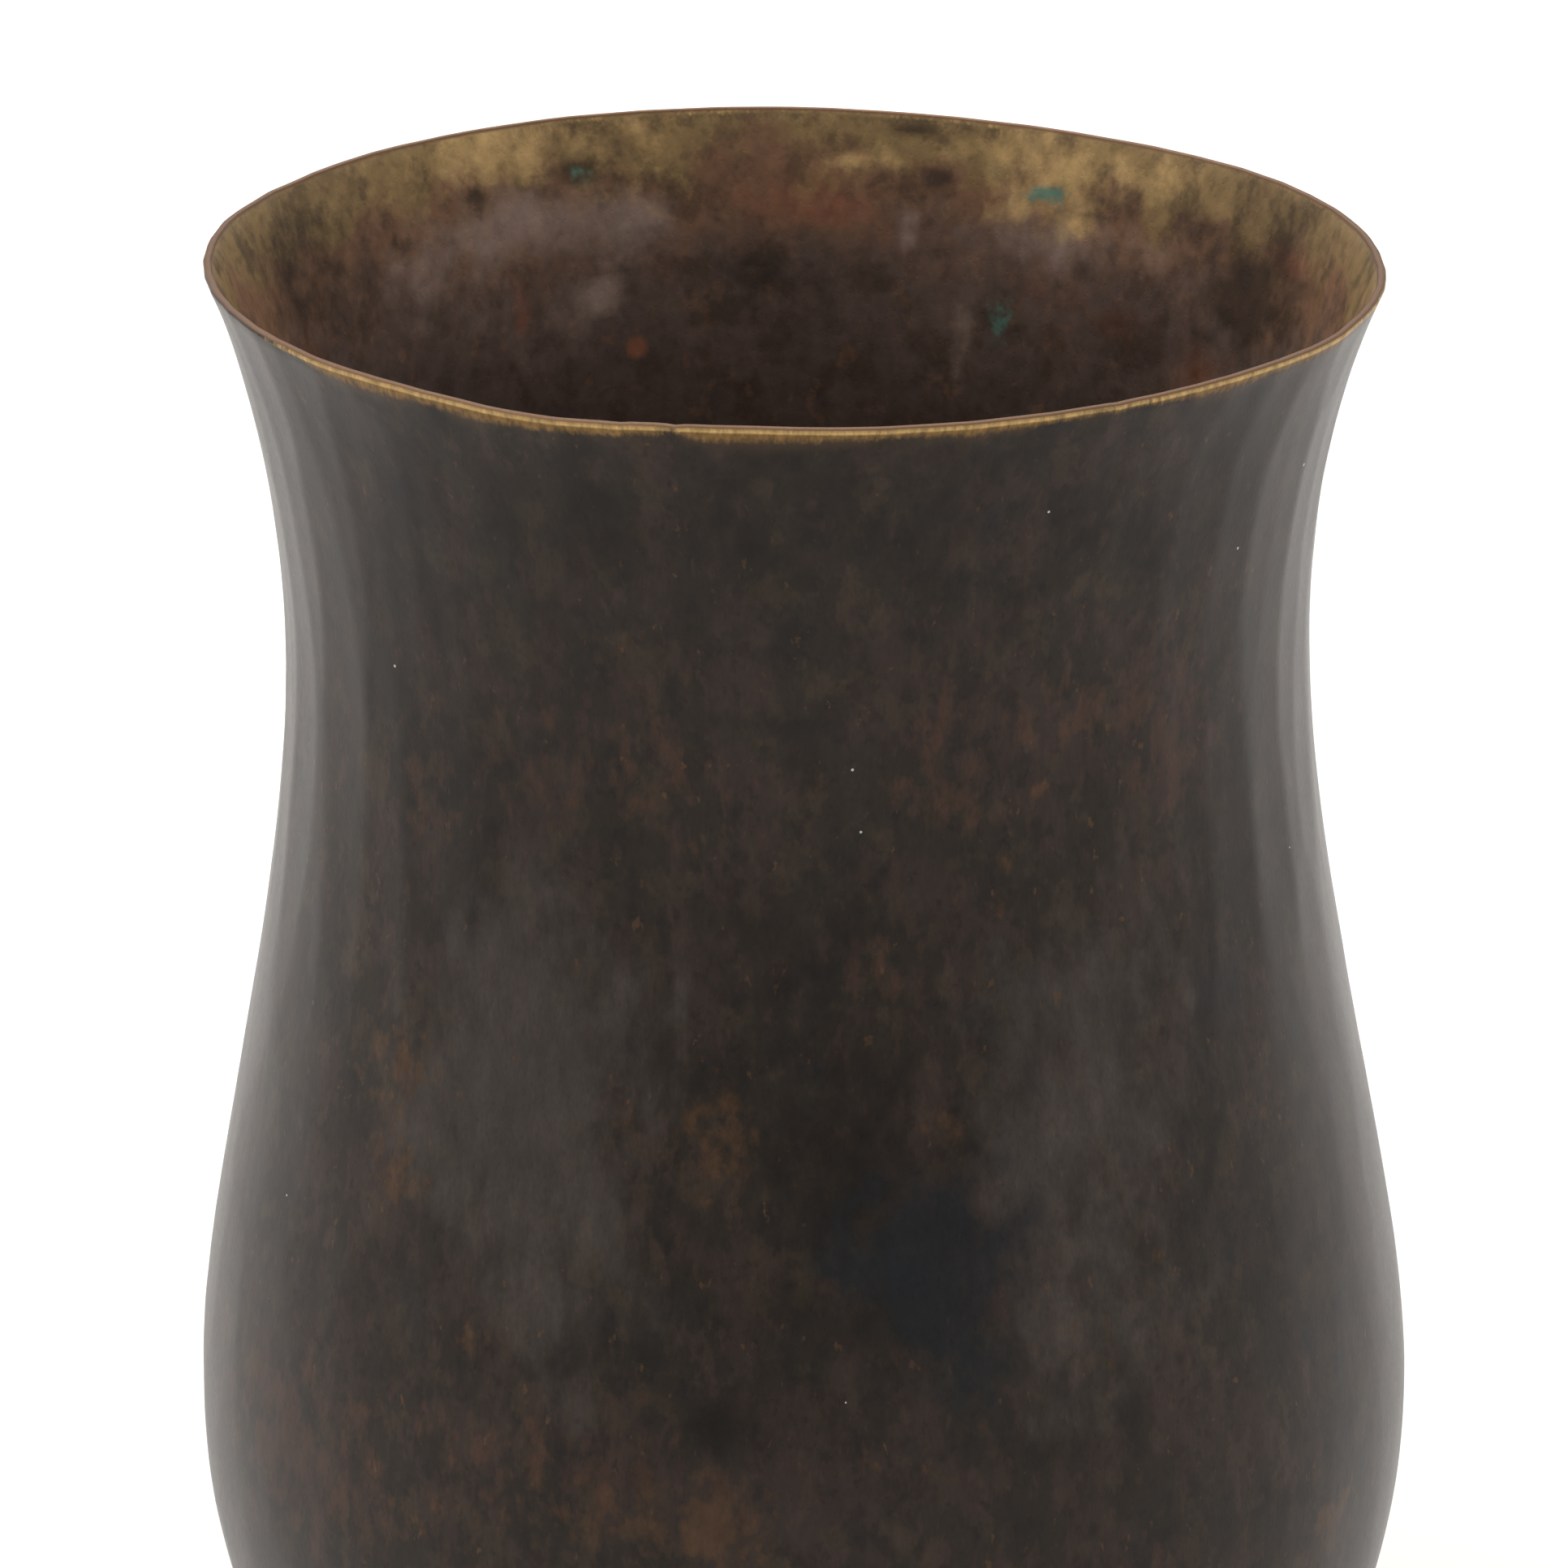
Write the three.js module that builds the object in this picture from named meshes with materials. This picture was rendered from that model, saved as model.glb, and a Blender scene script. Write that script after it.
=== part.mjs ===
// Wide-mouthed kalash water pot, raised by hand from brass sheet.
//
// The pot is two beaten sheets. The wall runs from the flared lip, through the waist, over the
// belly. The lower bowl closes it underneath: its edge laps inside the wall's lower edge, and
// brazing spelter runs along both edges of that lap. Everything is brazed, so nothing moves.
//
// Millimetres, +Z up. The origin is the centre of the flat underside that the pot stands on.

import * as THREE from 'three';

// ---- Driving dimensions ----

const sheetThickness = 1.1;
const seamGap = 0.3; // between the lapped sheets, and around the spelter

const mouthRadius = 75; // outside of the lip
const lipHeight = 216; // the lip's mean height
const lipTilt = THREE.MathUtils.degToRad(1); // the lip was cut this far out of level
const lipFlare = 0.45; // outward run of the lip for each millimetre of rise

const waistRadius = 65.9;
const waistHeight = 169;

const bellyRadius = 80;
const bellyHeight = 62.5;

const baseRadius = 30; // the flat disc underneath

const seamHeight = 33; // the wall's lower edge
const lapWidth = 8; // overlap of the bowl's edge, measured along the sheet
const filletWidth = 2.4; // spelter along each edge of the lap
const filletMiddle = 0.3; // a fillet's thickness halfway along, as a share of its root's

// How far each outline curve leaves its end points straight before it bends.
const lipReach = 20;
const waistReachUp = 2;
const waistReachDown = 37.5;
const bellyReachUp = 28.5;
const bellyReachDown = 40;
const baseReach = 28;

// Facets: round the pot, and along each stretch of the outline.
const facetsRound = 72;
const neckSteps = 7;
const bodySteps = 10;
const undersideSteps = 5;
const bowlSteps = 11;

// ---- The outline: three curves down the outside of the wall, lip to base ----

// The bowl nests inside the wall by one sheet and the gap, and rests on z = 0.
const nestDepth = sheetThickness + seamGap;

const neckCurve = new THREE.CubicBezierCurve(
  new THREE.Vector2(mouthRadius, lipHeight),
  new THREE.Vector2(mouthRadius - lipFlare * lipReach, lipHeight - lipReach),
  new THREE.Vector2(waistRadius, waistHeight + waistReachUp),
  new THREE.Vector2(waistRadius, waistHeight),
);

const bodyCurve = new THREE.CubicBezierCurve(
  new THREE.Vector2(waistRadius, waistHeight),
  new THREE.Vector2(waistRadius, waistHeight - waistReachDown),
  new THREE.Vector2(bellyRadius, bellyHeight + bellyReachUp),
  new THREE.Vector2(bellyRadius, bellyHeight),
);

const undersideCurve = new THREE.CubicBezierCurve(
  new THREE.Vector2(bellyRadius, bellyHeight),
  new THREE.Vector2(bellyRadius, bellyHeight - bellyReachDown),
  new THREE.Vector2(baseRadius + baseReach, -nestDepth),
  new THREE.Vector2(baseRadius, -nestDepth),
);

const placeTolerance = 1e-6;

/** How far along a falling curve, from 0 to 1 by length, it passes a height. */
function placeAtHeight(curve, height) {
  let above = 0;
  let below = 1;
  while (below - above > placeTolerance) {
    const middle = (above + below) / 2;
    if (curve.getPointAt(middle).y > height) {
      above = middle;
    } else {
      below = middle;
    }
  }
  return above;
}

/** The point at a place on a curve, moved towards the inside of the pot by a depth. */
function sunkPoint(curve, place, depth) {
  const tangent = curve.getTangentAt(place);
  const inward = new THREE.Vector2(tangent.y, -tangent.x);
  return curve.getPointAt(place).addScaledVector(inward, depth);
}

/** Points along a curve between two places, at one depth under the outline. */
function sunkLine(curve, from, to, steps, depth) {
  const points = [];
  for (let step = 0; step <= steps; step += 1) {
    points.push(sunkPoint(curve, from + ((to - from) * step) / steps, depth));
  }
  return points;
}

// ---- Solids ----

/**
 * Revolves an outline of (radius, height) points round the pot's upright axis. The outline climbs
 * the side that faces away from the axis and comes down the side that faces it.
 */
function revolve(outline) {
  return new THREE.LatheGeometry(outline, facetsRound).rotateX(Math.PI / 2);
}

/** An outline that returns to where it began. */
function closed(outline) {
  return [...outline, outline[0].clone()];
}

/** Tips the top of the wall out of level: nothing at the waist, all of it at the lip. */
function tipLip(geometry) {
  const position = geometry.attributes.position;
  for (let i = 0; i < position.count; i += 1) {
    const share = THREE.MathUtils.smoothstep(position.getZ(i), waistHeight, lipHeight);
    const drop = position.getX(i) * Math.tan(lipTilt) * share;
    position.setZ(i, position.getZ(i) - drop);
  }
  return geometry;
}

const wallEnd = placeAtHeight(undersideCurve, seamHeight);
const undersideLength = undersideCurve.getLength();
const bowlStart = wallEnd - lapWidth / undersideLength;
const gapShare = seamGap / undersideLength;
const filletShare = filletWidth / undersideLength;

/** One face of the wall, lip to seam, at a depth under the outline. */
function wallFace(depth) {
  return [
    ...sunkLine(neckCurve, 0, 1, neckSteps, depth),
    ...sunkLine(bodyCurve, 0, 1, bodySteps, depth).slice(1),
    ...sunkLine(undersideCurve, 0, wallEnd, undersideSteps, depth).slice(1),
  ];
}

function wallGeometry() {
  const outside = wallFace(0).reverse();
  const inside = wallFace(sheetThickness);
  return tipLip(revolve(closed([...outside, ...inside])));
}

function bowlGeometry() {
  const outside = sunkLine(undersideCurve, bowlStart, 1, bowlSteps, nestDepth);
  const inside = sunkLine(undersideCurve, bowlStart, 1, bowlSteps, nestDepth + sheetThickness);
  return revolve([
    new THREE.Vector2(0, 0),
    ...outside.reverse(),
    ...inside,
    new THREE.Vector2(0, sheetThickness),
  ]);
}

/** Spelter in the corner under the wall's lower edge, against the outside of the bowl. */
function outerSpelterGeometry() {
  const root = wallEnd + gapShare;
  return revolve(closed([
    sunkPoint(undersideCurve, root + filletShare, sheetThickness),
    sunkPoint(undersideCurve, root + filletShare / 2, sheetThickness * (1 - filletMiddle)),
    sunkPoint(undersideCurve, root, 0),
    sunkPoint(undersideCurve, root, sheetThickness),
  ]));
}

/** Spelter in the corner over the bowl's upper edge, against the inside of the wall. */
function innerSpelterGeometry() {
  const root = bowlStart - gapShare;
  return revolve(closed([
    sunkPoint(undersideCurve, root, nestDepth),
    sunkPoint(undersideCurve, root - filletShare, nestDepth),
    sunkPoint(undersideCurve, root - filletShare / 2, nestDepth + sheetThickness * filletMiddle),
    sunkPoint(undersideCurve, root, nestDepth + sheetThickness),
  ]));
}

// ---- Materials ----

const patinatedBrass = { color: 0x3d3632, roughness: 0.5, metalness: 0.85 };
const sootedBrass = { color: 0x352e2a, roughness: 0.6, metalness: 0.8 };
const spelter = { color: 0x6b5231, roughness: 0.5, metalness: 0.9 };

// ---- Assembly ----

const pot = new THREE.Group();

function addPart(name, geometry, finish) {
  const mesh = new THREE.Mesh(geometry, new THREE.MeshStandardMaterial(finish));
  mesh.name = name;
  pot.add(mesh);
}

addPart('upper_wall', wallGeometry(), patinatedBrass);
addPart('lower_bowl', bowlGeometry(), sootedBrass);
addPart('outer_seam_spelter', outerSpelterGeometry(), spelter);
addPart('inner_seam_spelter', innerSpelterGeometry(), spelter);

export default pot;
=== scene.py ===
"""A wide-mouthed kalash water pot, beaten by hand from brass sheet and brown with age.

The pot is four pieces: the wall from lip to seam, the bowl whose edge laps inside it, and the two
runs of brazing spelter along the lap. Each one is modelled at its full size in metres, in the
frame's own place, and stands for the frame's node of the same part.

Two coordinates serve the whole script. An azimuth is counted in degrees round the upright axis from
the front, which faces -Y, towards +X. A height is counted up from the underside.
"""

import logging
import math
from dataclasses import dataclass
from enum import Enum

import bmesh
import bpy
import numpy as np
from mathutils import Euler, Matrix, Vector, noise
from mathutils.geometry import interpolate_bezier


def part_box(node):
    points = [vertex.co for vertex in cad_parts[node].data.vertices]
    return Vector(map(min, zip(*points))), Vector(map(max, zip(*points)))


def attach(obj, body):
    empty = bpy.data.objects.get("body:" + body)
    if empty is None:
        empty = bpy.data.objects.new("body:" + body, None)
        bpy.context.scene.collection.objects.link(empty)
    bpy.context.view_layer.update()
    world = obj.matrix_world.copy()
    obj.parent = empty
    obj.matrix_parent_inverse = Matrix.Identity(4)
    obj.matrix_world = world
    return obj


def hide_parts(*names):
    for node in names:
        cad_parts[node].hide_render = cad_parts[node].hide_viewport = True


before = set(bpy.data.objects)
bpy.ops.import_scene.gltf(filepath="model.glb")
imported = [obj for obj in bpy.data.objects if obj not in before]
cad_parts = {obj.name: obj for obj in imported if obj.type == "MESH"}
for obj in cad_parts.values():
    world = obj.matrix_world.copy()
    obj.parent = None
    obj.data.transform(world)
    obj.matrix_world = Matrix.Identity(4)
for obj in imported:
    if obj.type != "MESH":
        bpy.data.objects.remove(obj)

LOG = logging.getLogger("kalash")
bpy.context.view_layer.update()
ROOT_BODY = "root"

MM = 0.001
MERGE_DISTANCE = 0.002 * MM
# Noise steps between the patterns of two layers, for each millimetre that their sizes differ
LAYER_SHIFT = 7.3
Colour = tuple[float, float, float]
Input = bpy.types.NodeSocket | float | tuple


# ---- Shape -------------------------------------------------------------------------------------


class Face(Enum):
    """The two faces of the sheet."""

    OUTSIDE = "outside"
    INSIDE = "inside"


@dataclass(frozen=True)
class Station:
    """A point of the pot's outline and the way into the pot from there.

    Attributes:
        point: Radius and height of the point.
        inward: Unit vector, in radius and height, towards the inside.
        below_lip: Length of sheet between the lip and the point.
    """

    point: Vector
    inward: Vector
    below_lip: float

    def sunk(self, depth: float) -> Vector:
        """The point moved a depth into the pot."""
        return self.point + self.inward * depth


@dataclass(frozen=True)
class Outline:
    """The outside of the pot from the lip down to the base, as three curves end to end.

    Attributes:
        belly_radius: Widest radius.
        mouth_radius: Outside radius of the lip.
        lip_height: Mean height of the lip.
        lip_flare: Outward run of the lip for each unit of rise.
        lip_reach: How far the outline runs straight down from the lip.
        waist_radius: Narrowest radius.
        waist_height: Height of the narrowest place.
        waist_reach: How far the outline runs straight above and below the waist.
        belly_height: Height of the widest place.
        belly_reach: How far the outline runs straight above and below the belly.
        base_radius: Radius of the flat underside.
        base_reach: How far the outline runs level outside the flat underside.
        nest_depth: Depth of the bowl's outside under the outline.
    """

    belly_radius: float
    mouth_radius: float = 75 * MM
    lip_height: float = 216 * MM
    lip_flare: float = 0.45
    lip_reach: float = 20 * MM
    waist_radius: float = 65.9 * MM
    waist_height: float = 169 * MM
    waist_reach: tuple[float, float] = (2 * MM, 37.5 * MM)
    belly_height: float = 62.5 * MM
    belly_reach: tuple[float, float] = (28.5 * MM, 40 * MM)
    base_radius: float = 30 * MM
    base_reach: float = 28 * MM
    nest_depth: float = 1.4 * MM

    def knots(self) -> list[tuple[Vector, Vector, Vector, Vector]]:
        """The end points and handles of the three curves, lip first."""
        lip = Vector((self.mouth_radius, self.lip_height))
        waist = Vector((self.waist_radius, self.waist_height))
        belly = Vector((self.belly_radius, self.belly_height))
        base = Vector((self.base_radius, -self.nest_depth))
        up = Vector((0, 1))
        out = Vector((1, 0))
        down_from_lip = Vector((-self.lip_flare, -1)) * self.lip_reach
        return [
            (lip, lip + down_from_lip, waist + up * self.waist_reach[0], waist),
            (waist, waist - up * self.waist_reach[1], belly + up * self.belly_reach[0], belly),
            (belly, belly - up * self.belly_reach[1], base + out * self.base_reach, base),
        ]

    def stations(self) -> list[Station]:
        """Finely spaced stations down the whole outline.

        Returns:
            The stations, lip first, each with its inward direction and its place along the sheet.
        """
        steps_per_curve = 160
        line: list[Vector] = []
        for knot_a, handle_a, handle_b, knot_b in self.knots():
            line += interpolate_bezier(knot_a, handle_a, handle_b, knot_b, steps_per_curve)[:-1]
        line.append(self.knots()[-1][-1])
        made = []
        run = 0.0
        for i, point in enumerate(line):
            before = line[max(i - 1, 0)]
            after = line[min(i + 1, len(line) - 1)]
            along = (after - before).normalized()
            run += (point - before).length
            made.append(Station(point, Vector((along.y, -along.x)), run))
        return made


@dataclass(frozen=True)
class Sheet:
    """A stretch of beaten sheet that follows the outline.

    Attributes:
        outline: The outline that the sheet follows.
        start: Distance of the sheet's upper edge from the lip, along the outline.
        end: Distance of its lower edge.
        depth: Depth of its outside under the outline.
        thickness: Thickness of the sheet.
    """

    outline: Outline
    start: float
    end: float
    depth: float
    thickness: float

    def stations(self, count: int) -> list[Station]:
        """Stations spaced evenly along the stretch.

        Args:
            count: How many stations to make.

        Returns:
            The stations, upper edge first.
        """
        fine = self.outline.stations()
        runs = [station.below_lip for station in fine]
        made = []
        for i in range(count):
            run = self.start + (self.end - self.start) * i / (count - 1)
            at = float(np.interp(run, runs, range(len(fine))))
            low = min(int(at), len(fine) - 2)
            share = at - low
            point = fine[low].point.lerp(fine[low + 1].point, share)
            inward = fine[low].inward.lerp(fine[low + 1].inward, share).normalized()
            made.append(Station(point, inward, run))
        return made


def run_at_height(outline: Outline, height: float) -> float:
    """Distance from the lip, along the outline, of the place at a height."""
    fine = outline.stations()
    heights = [station.point.y for station in reversed(fine)]
    runs = [station.below_lip for station in reversed(fine)]
    return float(np.interp(height, heights, runs))


def azimuths(points: np.ndarray) -> np.ndarray:
    """Azimuth of each point, in degrees from the front, positive towards +X."""
    return np.degrees(np.arctan2(points[:, 0], -points[:, 1]))


def turns_from(azimuth: float, turns: np.ndarray) -> np.ndarray:
    """The shorter way round from an azimuth to each of many others, in degrees with a sign."""
    return (turns - azimuth + 180) % 360 - 180


def bell(distances: np.ndarray, width: float) -> np.ndarray:
    """A smooth hump: 1 at no distance, falling to about a third at the width."""
    return np.exp(-((distances / width) ** 2))


def ease(values: np.ndarray, low: float, high: float) -> np.ndarray:
    """Smooth step from 0 at low to 1 at high."""
    shares = np.clip((values - low) / (high - low), 0, 1)
    return shares * shares * (3 - 2 * shares)


def hills(place: Vector, size: float) -> float:
    """Soft noise from 0 to 1 at a place, with hills of a size."""
    return 0.5 + 0.5 * noise.noise(place / size)


# ---- Hammer work -------------------------------------------------------------------------------


@dataclass(frozen=True)
class Blows:
    """Overlapping hammer marks of one size: flat facets that meet in soft ridges.

    Attributes:
        width: Width of a mark round the pot.
        length: Height of a mark.
        depth: How far the middle of a mark lies under its ridges.
        seed: Shifts the pattern.
        rise: How steeply a mark rises from its middle to its ridges.
    """

    width: float
    length: float
    depth: float
    seed: float
    rise: float = 1.6

    def sink(self, place: Vector) -> float:
        """Depth of the marks at a place on the pot."""
        at = Vector((place.x / self.width, place.y / self.width, place.z / self.length))
        nearest = noise.voronoi(at + Vector((self.seed,) * 3))[0][0]
        return self.depth * (1 - min(nearest * nearest * self.rise, 1.0))


@dataclass(frozen=True)
class Dent:
    """A single shallow dent.

    Attributes:
        azimuth: Where it is round the pot, in degrees.
        height: How high its middle is.
        width: Its half width.
        length: Its half height.
        depth: Its depth in the middle.
    """

    azimuth: float
    height: float
    width: float
    length: float
    depth: float


@dataclass(frozen=True)
class HammerWork:
    """The relief that the hammer left: it only ever sinks the sheet, towards the axis.

    Attributes:
        flutes: Long upright marks of the neck.
        facets: Rounder marks of the belly and the bowl.
        neck_from: Height where the flutes start to take over from the facets.
        neck_full: Height where they have taken over.
        facet_loss: How much of their depth the facets have lost there.
        swell: Depth of the slow waves over the whole body.
        swell_size: Size of those waves.
        ripple: Depth of the small unevenness between blows.
        ripple_size: Its size.
        dents: Single dents.
    """

    flutes: Blows = Blows(7.0 * MM, 52 * MM, 0.24 * MM, 3.7)
    facets: Blows = Blows(11 * MM, 21 * MM, 0.14 * MM, 11.3)
    neck_from: float = 112 * MM
    neck_full: float = 150 * MM
    facet_loss: float = 0.7
    swell: float = 0.22 * MM
    swell_size: float = 46 * MM
    ripple: float = 0.035 * MM
    ripple_size: float = 5 * MM
    dents: tuple[Dent, ...] = (
        Dent(-88, 64 * MM, 4 * MM, 2.5 * MM, 0.35 * MM),
        Dent(-84, 118 * MM, 6 * MM, 9 * MM, 0.15 * MM),
        Dent(83, 122 * MM, 6 * MM, 12 * MM, 0.15 * MM),
        Dent(152, 96 * MM, 9 * MM, 7 * MM, 0.40 * MM),
        Dent(-141, 148 * MM, 6 * MM, 5 * MM, 0.30 * MM),
    )

    def sink(self, place: Vector, neck_share: float) -> float:
        """How far the sheet is sunk at a place, dents aside.

        Args:
            place: The place, before it is sunk.
            neck_share: How far the flutes have taken over there, from 0 to 1.

        Returns:
            The depth, never negative.
        """
        depth = self.flutes.sink(place) * neck_share
        depth += self.facets.sink(place) * (1 - self.facet_loss * neck_share)
        depth += self.swell * hills(place, self.swell_size)
        depth += self.ripple * hills(place, self.ripple_size)
        return depth

    def sink_all(self, points: np.ndarray) -> np.ndarray:
        """Depths at many places, dents included.

        Args:
            points: One row of coordinates for each place.

        Returns:
            One depth for each place.
        """
        neck_shares = ease(points[:, 2], self.neck_from, self.neck_full)
        depths = np.array([self.sink(Vector(at), share) for at, share in zip(points, neck_shares)])
        turns = azimuths(points)
        radii = np.hypot(points[:, 0], points[:, 1])
        for dent in self.dents:
            across = np.radians(turns_from(dent.azimuth, turns)) * radii
            above = points[:, 2] - dent.height
            depths += dent.depth * bell(across, dent.width) * bell(above, dent.length)
        return depths


@dataclass(frozen=True)
class LipLine:
    """How the cut edge of the mouth wanders from a level circle.

    Attributes:
        tilt: Fall of the lip towards +X, in radians.
        fade_height: Height below which the neck stands straight again.
        lip_height: Mean height of the lip.
        waves: Low and high places: azimuth, half width in degrees, and rise.
        shake: Height of the small random waves.
        shake_ring: Radius, in noise steps, of the ring along which the waves are read.
        shake_top: Noise at which a wave reaches the unshaken lip; most of them stay below it.
        nicks: Nicks in the edge: azimuth, half width in degrees, and depth.
        nick_reach: How far below the lip a nick still tells.
    """

    fade_height: float
    lip_height: float
    tilt: float = math.radians(1.0)
    waves: tuple[tuple[float, float, float], ...] = (
        (-25, 11, -0.75 * MM),
        (-52, 9, -0.20 * MM),
        (40, 15, 0.45 * MM),
        (152, 24, -0.5 * MM),
        (-118, 20, -0.35 * MM),
    )
    shake: float = 0.14 * MM
    shake_ring: float = 3.1
    shake_top: float = 0.6
    nicks: tuple[tuple[float, float, float], ...] = (
        (-11.2, 0.7, 0.16 * MM),
        (-16.6, 0.5, 0.12 * MM),
        (31.0, 0.6, 0.08 * MM),
    )
    nick_reach: float = 2.5 * MM

    def lift_all(self, points: np.ndarray) -> np.ndarray:
        """Rise or fall of each point of the wall.

        Args:
            points: One row of coordinates for each point.

        Returns:
            One change in height for each point.
        """
        heights = points[:, 2]
        share = ease(heights, self.fade_height, self.lip_height)
        edge = np.clip((heights - self.lip_height + self.nick_reach) / self.nick_reach, 0, 1) ** 2
        turns = azimuths(points)
        lift = -points[:, 0] * math.tan(self.tilt) * share
        for azimuth, half_width, rise in self.waves:
            lift += rise * bell(turns_from(azimuth, turns), half_width) * share**2
        for azimuth, half_width, depth in self.nicks:
            lift -= depth * bell(turns_from(azimuth, turns), half_width) * edge
        angles = np.radians(turns)
        circle = np.stack((np.cos(angles), np.sin(angles), np.zeros_like(angles)), axis=1)
        shakes = np.array([noise.noise(Vector(place)) for place in circle * self.shake_ring])
        return lift + (shakes - self.shake_top) * self.shake * share**2


# ---- Stains ------------------------------------------------------------------------------------


class Tint(Enum):
    """Kinds of stain. Each one is an attribute of the mesh that the finishes read."""

    RUST = "rust"
    OCHRE = "ochre"
    BLUE = "blue"
    SOOT = "soot"
    HAZE = "haze"
    VERDIGRIS = "verdigris"
    RUB = "rub"


@dataclass(frozen=True)
class Stain:
    """A soft-edged stain on one face of the sheet.

    Attributes:
        tint: Its kind.
        azimuth: Where its middle is round the pot, in degrees.
        height: How high its middle is, in millimetres.
        width: Its half width, in millimetres.
        length: Its half height, in millimetres.
        strength: How strong it is in the middle.
        face: The face that it is on.
    """

    tint: Tint
    azimuth: float
    height: float
    width: float
    length: float
    strength: float = 1.0
    face: Face = Face.OUTSIDE


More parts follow.
